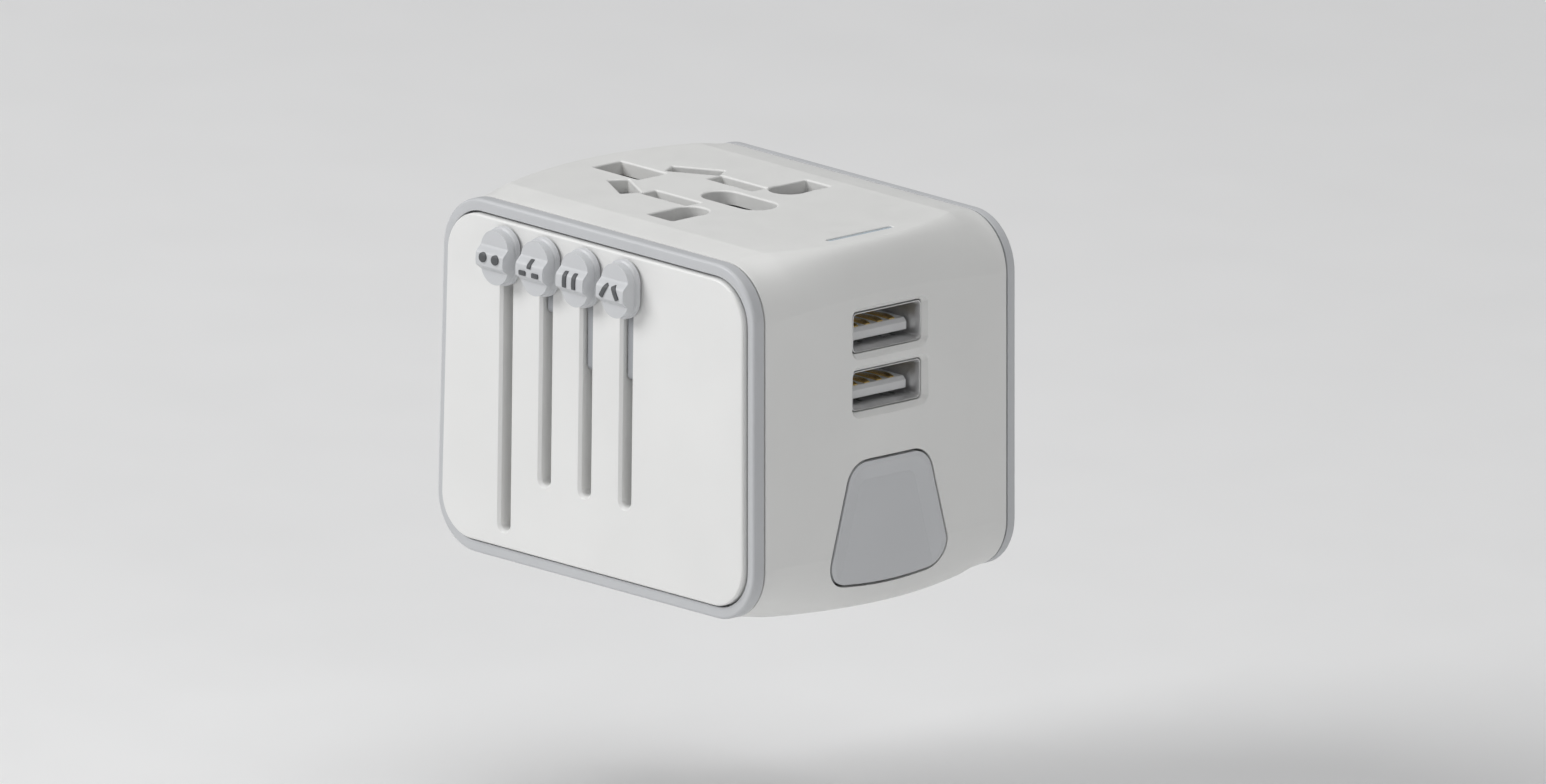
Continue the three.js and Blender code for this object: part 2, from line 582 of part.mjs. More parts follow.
// The bar from below the stem back to the carrier.
const makeLink = (plug, reach, level) => (
  box(around(plug.x, UPRIGHT.half), [UPRIGHT.front, reach + OVER], level)
);

// A pin with a tapered tip, long enough to reach its length below the plug face when it is out.
function makePin(name, plug, pin, sign, top, material) {
  const tip = travelOf(plug) - FACE_HEIGHT - pin.length;
  const { length, inset } = PIN_TAPER;
  const { grow, lift, height } = PIN_HEAD;
  const stage = (change, from, to) => prism(pinOutline(pin, sign, change), 'z', [from, to]);
  add(name, joined([
    stage(0, tip + length, top + lift + OVERLAP),
    stage(-inset, tip + length / 2, tip + length + OVERLAP),
    stage(-2 * inset, tip, tip + length / 2 + OVERLAP),
    stage(grow, top + lift, top + lift + height),
  ]), material);
}

const pinHoles = (pin, signs, [low, high]) => (
  signs.map((sign) => prism(pinOutline(pin, sign, PLAY), 'z', [low - OVER, high + OVER]))
);

// ---------------------------------------------------------------- European plug
function makeEuPlug() {
  const { bottom, rim } = EU_BASE;
  const top = bottom + EU_BASE.height;
  const floor = bottom + EU_BASE.floor;
  const wall = prism(euBaseOutline(0), 'z', [bottom, top]);
  const flange = prism(euBaseOutline(EU_BASE.flange), 'z', [top - rim, top]);
  const pocket = prism(euBaseOutline(-EU_BASE.wall), 'z', [floor, top + OVER]);
  const armX = around(PLUGS.eu.x, EU_ARM.half);
  const upright = box(armX, [UPRIGHT.front, UPRIGHT.back], [top - rim, UPRIGHT.top]);
  const foot = box(armX, [UPRIGHT.front, EU_ARM.reach], [top - rim, top + EU_ARM.rise]);
  const pinY = EU_PIN.spacing / 2;
  const round = (sign, radius, level) => cylinder('z', [EU_BASE.x, sign * pinY], radius, level);
  const holes = [-1, 1].map((sign) => round(sign, EU_PIN.radius + PLAY, [bottom - OVER, floor + OVER]));
  const base = joined([cut(wall.add(flange), [pocket]), makeStem(PLUGS.eu), upright, foot]);
  add('eu_plug_base', cut(base, holes), 'trim');
  const { length, nose } = EU_PIN;
  const tip = bottom - length;
  const neck = floor + PIN_HEAD.lift;
  [['front', -1], ['rear', 1]].forEach(([side, sign]) => {
    const shank = round(sign, EU_PIN.radius, [tip + nose, neck + OVERLAP]);
    const shoulder = round(sign, EU_PIN.shoulder, [tip + nose / 2, tip + nose + OVERLAP]);
    const end = round(sign, EU_PIN.tip, [tip, tip + nose / 2 + OVERLAP]);
    const head = round(sign, EU_PIN.head, [neck, neck + EU_PIN.headHeight]);
    add(`eu_pin_${side}`, joined([shank, shoulder, end, head]), 'nickel');
  });
}

// ---------------------------------------------------------------- British plug
function makeUkPlug() {
  const level = [UK_BAR.bottom, UK_BAR.top];
  const { near, far, half } = UK_ARM;
  const carrier = joined([
    box([UK_BAR.left, UK_BAR.right], around(0, UK_BAR.halfLength), level),
    box([UK_BAR.right - OVER, UK_EARTH.x + half], [near, far], level),
    box(around(UK_EARTH.x, half), [-1, far], level),
    box([UK_EARTH.x - UK_PAD.left, UK_EARTH.x + UK_PAD.right], around(0, UK_PAD.half), level),
    makeLink(PLUGS.uk, -UK_BAR.halfLength, level),
    makeUpright(PLUGS.uk, UK_BAR.bottom),
    makeStem(PLUGS.uk),
  ]);
  const holes = [...pinHoles(UK_EARTH, [1], level), ...pinHoles(UK_LIVE, [-1, 1], level)];
  add('uk_plug_carrier', cut(carrier, holes), 'inner');
  makePin('uk_live_pin_rear', PLUGS.uk, UK_LIVE, 1, UK_BAR.top, 'brass');
  makePin('uk_live_pin_front', PLUGS.uk, UK_LIVE, -1, UK_BAR.top, 'brass');
  makePin('uk_earth_pin', PLUGS.uk, UK_EARTH, 1, UK_BAR.top, 'brass');
}

// ---------------------------------------------------------------- American plug
function makeUsPlug() {
  const level = [FLAT_CARRIER.bottom, FLAT_CARRIER.top];
  const carrier = joined([
    box(around(US_BLADE.x, US_BAR.half), around(0, US_BAR.halfLength), level),
    makeLink(PLUGS.us, -US_BAR.halfLength, level),
    makeUpright(PLUGS.us, FLAT_CARRIER.bottom),
    makeStem(PLUGS.us),
  ]);
  add('us_plug_carrier', cut(carrier, pinHoles(US_BLADE, [-1, 1], level)), 'inner');
  makePin('us_blade_rear', PLUGS.us, US_BLADE, 1, FLAT_CARRIER.top, 'nickel');
  makePin('us_blade_front', PLUGS.us, US_BLADE, -1, FLAT_CARRIER.top, 'nickel');
}

// ---------------------------------------------------------------- Australian plug
function makeAuPlug() {
  const level = [FLAT_CARRIER.bottom, FLAT_CARRIER.top];
  const { left, right, halfLength, notch, notchHalf } = AU_PLATE;
  const carrier = joined([
    box([left, right], around(0, halfLength), level),
    box([PLUGS.au.x - UPRIGHT.half, right], [AU_ARM.near, AU_ARM.far], level),
    box([left, right], [AU_ARM.near, -halfLength + OVER], level),
    makeLink(PLUGS.au, AU_ARM.near, level),
    makeUpright(PLUGS.au, FLAT_CARRIER.bottom),
    makeStem(PLUGS.au),
  ]);
  const earthPath = box([left - OVER, notch], around(0, notchHalf), [level[0] - OVER, level[1] + OVER]);
  add('au_plug_carrier', cut(carrier, [earthPath, ...pinHoles(AU_BLADE, [-1, 1], level)]), 'inner');
  makePin('au_blade_rear', PLUGS.au, AU_BLADE, 1, FLAT_CARRIER.top, 'nickel');
  makePin('au_blade_front', PLUGS.au, AU_BLADE, -1, FLAT_CARRIER.top, 'nickel');
}

// ---------------------------------------------------------------- release buttons
function makeReleaseButton(side, sign) {
  const outer = SIDE_CUT[1];
  const blank = prism(releaseOutline(0), 'x', sided(sign, [RELEASE_BACK, outer]));
  const skin = loft(bothWays(BUTTON_STATIONS).map((y) => housingRing(y, 0)));
  const dishOutline = releaseOutline(-RELEASE_BEVEL, RELEASE_RUN_OUT);
  const dish = prism(dishOutline, 'x', sided(sign, [RELEASE_DISH, outer + OVER]));
  const { face, top, bottom, halfLength } = RELEASE_RAIL;
  const rail = box(sided(sign, [face, RELEASE_BACK + OVERLAP]), around(0, halfLength), [bottom, top]);
  add(`release_button_${side}`, cut(blank.intersect(skin), [dish]).add(rail), 'slider');
}

function makeReleaseSpring(side, sign) {
  const { x, thickness, bow, halfLength, height, z } = RELEASE_SPRING;
  const outline = polygon([
    [x, -halfLength], [x + thickness, -halfLength], [x + thickness - bow, 0],
    [x + thickness, halfLength], [x, halfLength], [x - bow, 0],
  ].map(([u, v]) => [sign * u, v]));
  add(`release_spring_${side}`, prism(outline, 'z', around(z, height / 2)), 'steel');
}

// ---------------------------------------------------------------- USB ports
function makeUsbPort(name, z) {
  const { width, height, wall, length, face, radius, end } = USB_SHELL;
  const outer = prism(roundedRectangle([0, z], width, height, radius, 3), 'x', [face - length, face]);
  const bore = roundedRectangle([0, z], width - 2 * wall, height - 2 * wall, radius - wall, 3);
  const inner = prism(bore, 'x', [face - length + end, face + OVER]);
  const along = [face - USB_WINDOW.far, face - USB_WINDOW.near];
  const floor = around(z - height / 2, OVER);
  const windows = USB_WINDOW.places.map((y) => box(along, around(y, USB_WINDOW.half), floor));
  add(`usb_shell_${name}`, cut(outer, [inner, ...windows]), 'nickel');

  const middle = z - USB_TONGUE.drop;
  const back = face - length + end + PLAY;
  const front = face - USB_TONGUE.setBack;
  const top = middle + USB_TONGUE.height / 2;
  const plate = box([back, front], around(0, USB_TONGUE.width / 2), around(middle, USB_TONGUE.height / 2));
  const ribs = USB_RIB.places.map((y) => (
    box([back, front - USB_RIB.setBack], around(y, USB_RIB.half), [middle, top + USB_RIB.proud])
  ));
  add(`usb_tongue_${name}`, joined([plate, ...ribs]), 'dark');
}

function makeUsbBoard() {
  const { x, thickness, halfWidth, bottom, top } = USB_BOARD;
  add('usb_board', box([x, x + thickness], around(0, halfWidth), [bottom, top]), 'board');
}

// ---------------------------------------------------------------- inside the socket
function makeSocketCore() {
  const { x, width, depth, radius, bottom } = SOCKET_CORE;
  const top = FACE_HEIGHT - WALL - GAP;
  const block = prism(roundedRectangle([x, 0], width, depth, radius, 4), 'z', [bottom, top]);
  add('socket_core', cut(block, socketCutters([bottom - OVER, top + OVER], PLAY)), 'inner');
}

// A brass rail under one row of openings, with a pair of springy leaves at each opening.
function makeRowContact(name, sign) {
  const { y, half, left, right, bottom, top, leafHalf, leafReach, leaves } = ROW_CONTACT;
  const rail = box([left, right], around(sign * y, half), [bottom, top]);
  const pairs = leaves.flatMap(([x, spread]) => around(x, spread));
  const springs = pairs.map((at) => box(around(at, leafHalf), sided(sign, [leafReach, y]), [bottom, top]));
  add(name, joined([rail, ...springs]), 'brass');
}

function makeEarthContact() {
  const { x } = UK_EARTH_HOLE;
  const { half, near, far, bottom, top, bridge, tab } = EARTH_CONTACT;
  const leaves = [-1, 1].map((sign) => box(around(x, half), sided(sign, [near, far]), [bottom, top]));
  const joint = box([x - half - tab, x - half + OVERLAP], around(0, far), [bridge, top]);
  add('earth_contact', joined([...leaves, joint]), 'brass');
}

function makeLens() {
  const bottom = FACE_HEIGHT - LENS.depth;
  const level = [bottom + LENS_BASE.step, FACE_HEIGHT - LENS.sunk];
  const inside = [bottom, FACE_HEIGHT - WALL - GAP];
  const guide = box(around(LENS.x, LENS_BASE.half), around(0, LENS_BASE.halfLength), inside);
  add('indicator_lens', prism(lensOutline(LENS.gap), 'z', level).add(guide), 'lens');
}

// ---------------------------------------------------------------- charger and fuse
function makeCharger() {
  add('transformer', box(TRANSFORMER.x, TRANSFORMER.y, TRANSFORMER.z), 'dark');
  add('capacitor', cylinder('z', [CAPACITOR.x, CAPACITOR.y], CAPACITOR.radius, CAPACITOR.z), 'dark');
}

function makeFuse() {
  const { y, z, radius } = FUSE;
  const { length, half, top, mouth } = FUSE_CLIP;
  add('fuse', cylinder('x', [y, z], radius, FUSE.x, 16), 'ceramic');
  Object.entries(FUSE_CLIPS).forEach(([side, x]) => {
    const along = [x - OVER, x + length + OVER];
    const block = box([x, x + length], around(y, half), [z - half, z + top]);
    const seat = cylinder('x', [y, z], radius + PLAY, along, 16);
    const entry = box(along, around(y, mouth), [z, z + top + OVER]);
    add(`fuse_clip_${side}`, cut(block, [seat, entry]), 'brass');
  });
}

// ---------------------------------------------------------------- assembly
makeHousing();
makeBezel('front_bezel', -1);
makeBezel('rear_bezel', 1);
makeFrontPanel();
makeRearPanel();
makeScrews();
Object.entries(PLUGS).forEach(([name, plug]) => makeSliderButton(`slider_${name}`, plug.x));
makeEuPlug();
makeUkPlug();
makeUsPlug();
makeAuPlug();
[['right', 1], ['left', -1]].forEach(([side, sign]) => {
  makeReleaseButton(side, sign);
  makeReleaseSpring(side, sign);
});
Object.entries(USB_HEIGHTS).forEach(([name, z]) => makeUsbPort(name, z));
makeUsbBoard();
makeSocketCore();
makeRowContact('live_contact', -1);
makeRowContact('neutral_contact', 1);
makeEarthContact();
makeLens();
makeCharger();
makeFuse();
adapter.position.z = FACE_HEIGHT;

export default adapter;
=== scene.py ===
"""Looks of a universal travel adapter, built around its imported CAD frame.

Lengths below are millimetres, measured from the middle of the body, with z up. make_piece turns
them into metres in the frame's own axes, whose origin is the middle of the plug face.
"""
import math

import bmesh
import bpy
from mathutils import Matrix, Vector


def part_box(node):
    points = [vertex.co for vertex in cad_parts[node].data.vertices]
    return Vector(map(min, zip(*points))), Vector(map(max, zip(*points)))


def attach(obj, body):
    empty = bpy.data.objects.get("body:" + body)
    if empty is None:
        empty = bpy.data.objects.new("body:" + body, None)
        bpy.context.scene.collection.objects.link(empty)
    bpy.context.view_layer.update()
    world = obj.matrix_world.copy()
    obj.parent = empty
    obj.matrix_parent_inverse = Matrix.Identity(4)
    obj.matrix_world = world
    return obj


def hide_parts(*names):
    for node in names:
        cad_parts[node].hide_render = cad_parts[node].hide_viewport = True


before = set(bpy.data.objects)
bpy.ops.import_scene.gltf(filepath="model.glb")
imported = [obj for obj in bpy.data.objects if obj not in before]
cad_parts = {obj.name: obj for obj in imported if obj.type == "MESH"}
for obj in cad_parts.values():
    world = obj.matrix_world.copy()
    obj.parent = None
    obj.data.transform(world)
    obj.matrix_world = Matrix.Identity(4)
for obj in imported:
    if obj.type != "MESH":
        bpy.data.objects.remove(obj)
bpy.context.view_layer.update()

MM = 0.001


def extent(node):
    """Lowest and highest corner of a CAD node, in millimetres from the middle of the body."""
    low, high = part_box(node)
    shift = Vector((0, 0, FACE_HEIGHT))
    return low / MM - shift, high / MM - shift


def middle_of(node):
    return sum(extent(node), Vector()) / 2


# -------------------- body dimensions
COVER_BAND = {-1: 1.73, 1: 1.32}  # straight rims of the front and the rear cover
COVER_ROUND = 0.51
FACE_HEIGHT = (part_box("housing")[1].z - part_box("housing")[0].z) / 2 / MM
HALF_DEPTH = extent("rear_bezel")[1].y - COVER_BAND[1] - COVER_ROUND
HALF_WIDTH = 32.5
SIDE_BULGE = 1.0
DRAFT = 0.0166
RAMP_DROP = 0.69  # how far the top and the base slope down from their flat middle to the covers
RAMP_ROWS = (20.6, 22.2)
EDGE_HEIGHT = FACE_HEIGHT - RAMP_DROP
FACE_HALF_DEPTH = 18.0
FACE_HALF_WIDTH = 30.14
FACE_EDGE_RADIUS = 45
CORNER_RADIUS = 7.9
TANGENT_HEIGHT = 17.8
TANGENT_RISE = 1.7
CREASE = math.radians(8)
CREASE_FADE = 2.5
WALL = 2.0
SEAM = 0.25
GAP = 0.3
SOFT_EDGE = 0.13
EDGE_MIDDLE = 0.3  # how far a small rounded edge's middle point lies in, as a share of its radius
TINY = 0.01
WELD = 1e-4
OVER = 0.6  # how far a tool reaches past the surface that it cuts
THROUGH = 5  # deeper than any wall that a tool cuts through

# Covers and panels: half width, half height and corner radius of their outlines.
COVER = (HALF_WIDTH, EDGE_HEIGHT, CORNER_RADIUS)
PANEL = (30.85, 23.7, 6.15)
PANEL_PROUD = 0.7
PANEL_EDGE = 0.35
WEB = 0.6
SPIGOT_DEPTH = 1.9
SPIGOT_WALL = 1.6
BOSS_DEPTH = 1.4
SLOT_WIDTH = 2.0
SLOT_TOP = 22.4
SLOT_BOTTOMS = {"eu": -21.2, "uk": -13.1, "us": -13.1, "au": -13.1}
SLIDER_X = {name: middle_of(f"slider_{name}").x for name in SLOT_BOTTOMS}
SCREW_X = 26.2
SCREW_Z = 19.5
SCREW_HEAD = 2.2
SCREW_HEAD_DEPTH = 1.2
SCREW_SHANK = 1.0
SCREW_HOLE = 1.3
COVER_BORE = 30
PANEL_BORE = 10
SCREW_CROWN = {"height": 0.55, "inset": 0.9}
SCREW_CROSS = {"long": 2.6, "short": 0.55, "radius": 0.12, "taper": 0.1, "depth": 0.6, "turn": 20}

# Openings in the socket face and sections of the flat pins, seen from above. Sizes run along x and
# y before the slant, in degrees. One with a y has a twin on the other side of the middle.
EARTH_OPENING = {"x": -20.95, "width": 9.5, "height": 5.5, "radius": 0.35, "steps": 4}
CENTRE_OPENING = {"x": 1.75, "width": 12.8, "height": 5.8, "radius": 2.89, "steps": 14}
AU_OPENING = {
    "x": -14.7, "y": 6.85, "width": 7.8, "height": 3.0, "radius": 0.2, "steps": 3, "slant": 29.5,
}
US_OPENING = {"x": -5.6, "y": 6.35, "width": 9.4, "height": 2.9, "radius": 0.25, "steps": 3}
UK_LIVE = {"x": -8, "y": 11.1, "width": 4, "height": 6.35, "radius": 0.4, "steps": 5}
UK_EARTH = {"x": 14.2, "width": 8, "height": 4, "radius": 0.4, "steps": 5}
US_BLADE = {"x": -1, "y": 6.35, "width": 6.35, "height": 1.5, "radius": 0.2, "steps": 4}
AU_BLADE = {"x": 22, "y": 6.85, "width": 6.35, "height": 1.6, "radius": 0.2, "steps": 4, "slant": 30}

# The opening that takes a round pin or a British one: the ball's centre lies at near.
KEYHOLE = {"x": 1.65, "radius": 2.75, "near": 9.5, "far": 15.3, "half": 2.6, "soft": 0.2}

# Pins: how far the tips are rounded, and the stretch from the tip that a sleeve covers.
TIP_ROUND = {"eu": 1.5, "uk": 0.9, "us": 0.6, "au": 0.6}
SLEEVES = {"eu": (9.5, 19.3), "uk": (8.2, 20.2), "au": (8.5, 19.4)}
SLEEVE_PROUD = 0.06
SLEEVE_RAMP = 0.15
PIN_HEAD = 1.0
PIN_HEAD_GROW = 0.4
BLADE_HOLE_RADIUS = 0.3  # corners of the openings that the blades come out of
US_HOLE = {"rise": 4.2, "radius": 1.6, "reach": 3}

# Slider caps.
BUTTON_WIDTH = 6.3
BUTTON_TOP = 23.2
BUTTON_BOTTOM = 14.6
BUTTON_THICKNESS = 2.4
BUTTON_FLANGE = 1.1
BUTTON_STEP = 0.3
RIDGE_THICKNESS = 3.4
RIDGE_RISE = (20.7, 19.3)
RIDGE_LOW = 17.7
RIDGE_CREASE = 16.9
MARK_Z = 18.95
RIDGE_CROWN = 0.06
PAST_SLIDER = 6  # well past a slider's front and its sides
CAP_TAPER = 0.12
CAP_ROUND = 0.42
# Rounding of the flange's front: (distance behind its face, offset).
FLANGE_LIP = [(0.15, 0), (0.04, -0.05), (0, -0.15), (-0.3, -0.5)]
MARK_PROUD = 0.18

# Release buttons: a trapezium's levels and half widths, and the radii of its corners.
RELEASE = {
    "top": -4.7, "top_half": 7.2, "low": -18, "low_half": 10.85, "corner": -21.9, "bottom": -23.0,
    "radius": 3.6, "low_radius": 3.4, "bottom_radius": 65, "dish_radius": 1.6, "run_out_radius": 0.5,
}
RELEASE_GAP = 0.35
RELEASE_BACK = 30.5
RELEASE_DISH = 32.85
RELEASE_BEVEL = 2.8
RELEASE_RIM = 0.28
RELEASE_RUN_OUT = 6
RELEASE_SLOPE = 0.9  # share of the dish's depth that its bevelled wall takes up
RELEASE_FLARE = (2, 0.6)  # how far the dish's tool goes on past the bevel, and widens
RELEASE_OUTSIDE = 37
RELEASE_SPAN = 13
RELEASE_RAIL = {"x": (29.8, 31), "y": (-8.5, 8.5), "z": (-21, -9)}

# USB ports.
USB_WIDTH = 13.2
USB_HEIGHT = 5.8
USB_WALL = 0.35
USB_FLARE = 0.15
USB_CORNER = 0.8
USB_MOUTH = (14.5, 7.2, 1.25)
USB_FUNNEL_INSET = 0.55
USB_FUNNEL_LEVELS = (0.85, 1.0)
# The shell from its flare to its lip: (distance behind the mouth, offset).
USB_LIP = [(1.1, -USB_FLARE), (0.3, 0), (0.03, -0.02), (0, -0.08), (0.02, -0.16)]
USB_FLARE_DEPTH = 0.9
USB_BACK_WALL = 1.2
USB_WINDOWS = (-3.2, 3.2)
USB_WINDOW = {"far": 8.4, "near": 2.6, "half": 1.15, "tool": 0.8}
SPRING = {"start": 8.3, "length": 5.4, "dip": 0.75, "half": 0.9, "taper": 0.2, "thick": 0.2}
SPRING_LIFT = 1.12  # above 1, the tab turns back before its end
USB_PLACES = {name: middle_of(f"usb_shell_{name}").z for name in ("upper", "lower")}
TONGUE_HALF = 5.7
TONGUE_HEIGHT = 1.7
TONGUE_DROP = 0.85
TONGUE_SET_BACK = 2.0
TONGUE_CHAMFER = 0.55
TONGUE_ROOT = 1.25
CONTACT_ROWS = (-3.5, -1.2, 1.2, 3.5)
CONTACT = {"start": 0.35, "end": 0.7, "rise": 0.12, "bow": 0.28, "half": 0.5, "sunk": 0.25}

# Indicator window and light guide: width, length and corner radius.
LENS_WINDOW = (1.0, 12.7, 0.49)
LENS_BAR = (0.84, 12.5, 0.4)
LENS_CROWN = {"height": 0.3, "inset": 0.28}

# European plug base.
EU_X = -19.5
EU_HEIGHT = 21
EU_FLOOR = 2.0
EU_WALL = 1.5
EU_FLANGE = 0.8
EU_RIM = 1.5
EU_PIN_Y = 9.5
EU_PIN_RADIUS = 1.94
EU_PIN_HOLE = 2.15
EU_FOOT_ROUND = 0.5
EU_ARM = {"half": 1.4, "y": (-21, -16.4), "rise": 1.2}
EU_UPRIGHT = {"y": (-21, -18), "top": 19}
EU_STEM = {"half": 0.7, "back": -20.5, "bottom": 15.0, "round": 0.9, "round_middle": 0.26}
EU_NOTCH = {"half": 2, "depth": 1.6, "z": (15.7, 21.3)}


# -------------------- meshes from rings and outlines
def solid(name, rings, closed=False):
    """A skin through rings with the same number of points, with ends unless it closes on itself."""
    count = len(rings[0])
    faces = []
    for r in range(len(rings) if closed else len(rings) - 1):
        here = r * count
        there = ((r + 1) % len(rings)) * count
        for k in range(count):
            j = (k + 1) % count
            faces.append((here + k, here + j, there + j, there + k))
    if not closed:
        faces.append(tuple(range(count))[::-1])
        faces.append(tuple((len(rings) - 1) * count + k for k in range(count)))
    mesh = bpy.data.meshes.new(name)
    mesh.from_pydata([tuple(point) for ring in rings for point in ring], [], faces)
    work = bmesh.new()
    work.from_mesh(mesh)
    bmesh.ops.remove_doubles(work, verts=work.verts, dist=WELD)
    bmesh.ops.recalc_face_normals(work, faces=work.faces)
    work.to_mesh(mesh)
    work.free()
    thing = bpy.data.objects.new(name, mesh)
    bpy.context.scene.collection.objects.link(thing)
    return thing


def bake_modifiers(thing):
    """Replaces an object's mesh by what its modifiers make of it."""
    depsgraph = bpy.context.evaluated_depsgraph_get()
    depsgraph.update()
    made = bpy.data.meshes.new_from_object(thing.evaluated_get(depsgraph))
    old = thing.data
    thing.modifiers.clear()
    thing.data = made
    bpy.data.meshes.remove(old)


def boolean(thing, tools, operation="DIFFERENCE"):
    """Cuts away, joins or intersects, and removes the tools."""
    group = bpy.data.collections.new("tools")
    bpy.context.scene.collection.children.link(group)
    for tool in tools:
        bpy.context.scene.collection.objects.unlink(tool)
        group.objects.link(tool)
    modifier = thing.modifiers.new("boolean", "BOOLEAN")
    modifier.operation = operation
    modifier.solver = "EXACT"
    modifier.operand_type = "COLLECTION"
    modifier.collection = group
    bake_modifiers(thing)
    for tool in tools:
        bpy.data.objects.remove(tool)
    bpy.data.collections.remove(group)
    return thing


def soften(thing, width, segments=3, angle=40):
    modifier = thing.modifiers.new("soft_edges", "BEVEL")
    modifier.width = width
    modifier.segments = segments
    modifier.limit_method = "ANGLE"
    modifier.angle_limit = math.radians(angle)
    bake_modifiers(thing)
    return thing


def shade(thing, angle=32, is_crease=None):
    """Smooth shading, with sharp edges past an angle and along the creases that a test names."""
    mesh = thing.data
    mesh.shade_smooth()
    mesh.set_sharp_from_angle(angle=math.radians(angle))
    if is_crease:
        for edge in mesh.edges:
            a, b = (mesh.vertices[i].co for i in edge.vertices)
            if is_crease(a) and is_crease(b):
                edge.use_edge_sharp = True
    modifier = thing.modifiers.new("even_normals", "WEIGHTED_NORMAL")
    modifier.keep_sharp = True
    modifier.weight = 60


def make_piece(thing, material, body, replaced=(), angle=32, is_crease=None):
    """Gives a finished shape its material and shading, and puts it into the frame."""
    shade(thing, angle, is_crease)
    thing.data.transform(Matrix.Scale(MM, 4) @ Matrix.Translation((0, 0, FACE_HEIGHT)))
    thing.data.materials.clear()
    thing.data.materials.append(material)
    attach(thing, body)
    if replaced:
        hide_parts(*replaced)
    return thing


# Outlines are lists of (u, v) points, counter-clockwise.
def arc(centre, radius, start, end, steps):
    turn = [math.radians(start + (end - start) * k / steps) for k in range(steps + 1)]
    return [(centre[0] + radius * math.cos(t), centre[1] + radius * math.sin(t)) for t in turn]


def quarter_turns(steps):
    return [math.pi / 2 * k / steps for k in range(steps + 1)]


def circle(centre, radius, steps=48):
    return arc(centre, radius, 0, 360, steps)[:-1]


def rounded_polygon(corners, steps=8):
    """Each corner is (u, v, radius), counter-clockwise."""
    points = []
    for i, (u, v, radius) in enumerate(corners):
        here = Vector((u, v))
        back = (Vector(corners[i - 1][:2]) - here).normalized()
        ahead = (Vector(corners[(i + 1) % len(corners)][:2]) - here).normalized()
        half = back.angle(ahead) / 2
        centre = here + (back + ahead).normalized() * (radius / math.sin(half))
        first = here + back * (radius / math.tan(half)) - centre
        for k in range(steps + 1):
            turned = Matrix.Rotation((math.pi - 2 * half) * k / steps, 2) @ first
            points.append(tuple(centre + turned))
    return points


def rounded_rectangle(centre, width, height, radius, steps=8, degrees=0):
    turn = Matrix.Rotation(math.radians(degrees), 2)
    corners = []
    for su, sv in ((1, -1), (1, 1), (-1, 1), (-1, -1)):
        corner = Vector(centre) + turn @ Vector((su * width / 2, sv * height / 2))
        corners.append((corner.x, corner.y, radius))
    return rounded_polygon(corners, steps)


def grown(outline, distance):
    """The outline moved outwards by a distance, point by point."""
    moved = []
    for i, point in enumerate(outline):
        here = Vector(point)
        back = (here - Vector(outline[i - 1])).normalized()
        ahead = (Vector(outline[(i + 1) % len(outline)]) - here).normalized()
        normal = Vector((back.y + ahead.y, -back.x - ahead.x)).normalized()
        stretch = max(0.5, normal.dot(Vector((back.y, -back.x))))
        moved.append(tuple(here + normal * (distance / stretch)))
    return moved


def round_over(radius, steps=5, lead=8):
    """(offset, depth) pairs down a rounded rim, from the surface into a hole."""
    pairs = []
    for k in range(steps + 1):
        turn = math.radians(lead + (90 - lead) * k / steps)
        pairs.append((radius * (1 - math.sin(turn)), radius * (1 - math.cos(turn))))
    return pairs


def carver(outline, place, profile, depth):
    """A solid that cuts a hole: place(u, v, d) gives the point at depth d below the surface."""
    first = profile[0]
    last = profile[-1]
    levels = [(first[0], first[1] - OVER), *profile, (last[0], depth)]
    rings = [[place(u, v, d) for u, v in grown(outline, offset)] for offset, d in levels]
    return solid("carver", rings)


def solid_along(name, axis, outline, levels):
    """A solid with an outline along an axis: levels are (position, offset) pairs."""
    place = {
        "x": lambda u, v, w: (w, u, v),
        "y": lambda u, v, w: (u, w, v),
        "z": lambda u, v, w: (u, v, w),
    }[axis]
    rings = [[place(u, v, level) for u, v in grown(outline, offset)] for level, offset in levels]
    return solid(name, rings)


def around(middle, half):
    return (middle - half, middle + half)


def block(name, x, y, z):
    outline = [(x[1], y[0]), (x[1], y[1]), (x[0], y[1]), (x[0], y[0])]
    return solid_along(name, "z", outline, [(z[0], 0), (z[1], 0)])


# -------------------- materials
def node_material(name, colour, roughness, metallic=0.0):
    material = bpy.data.materials.new(name)
    material.use_nodes = True
    shader = material.node_tree.nodes["Principled BSDF"]
    shader.inputs["Base Color"].default_value = (*colour, 1)
    shader.inputs["Roughness"].default_value = roughness
    shader.inputs["Metallic"].default_value = metallic
    return material, shader


def noise(material, scale, detail=3.0, stretch=(1, 1, 1), roughness=0.5):
    tree = material.node_tree
    place = tree.nodes.new("ShaderNodeTexCoord")
    mapping = tree.nodes.new("ShaderNodeMapping")
    mapping.inputs["Scale"].default_value = stretch
    texture = tree.nodes.new("ShaderNodeTexNoise")
    texture.inputs["Scale"].default_value = scale
    texture.inputs["Detail"].default_value = detail
    texture.inputs["Roughness"].default_value = roughness
    tree.links.new(place.outputs["Object"], mapping.inputs["Vector"])
    tree.links.new(mapping.outputs["Vector"], texture.inputs["Vector"])
    return texture.outputs["Fac"]


def spread(material, source, low, high, start=0.3, end=0.7):
    """Turns a noise into a value between low and high."""
    tree = material.node_tree
    ramp = tree.nodes.new("ShaderNodeMapRange")
    ramp.inputs["From Min"].default_value = start
    ramp.inputs["From Max"].default_value = end
    ramp.inputs["To Min"].default_value = low
    ramp.inputs["To Max"].default_value = high
    tree.links.new(source, ramp.inputs["Value"])
    return ramp.outputs["Result"]


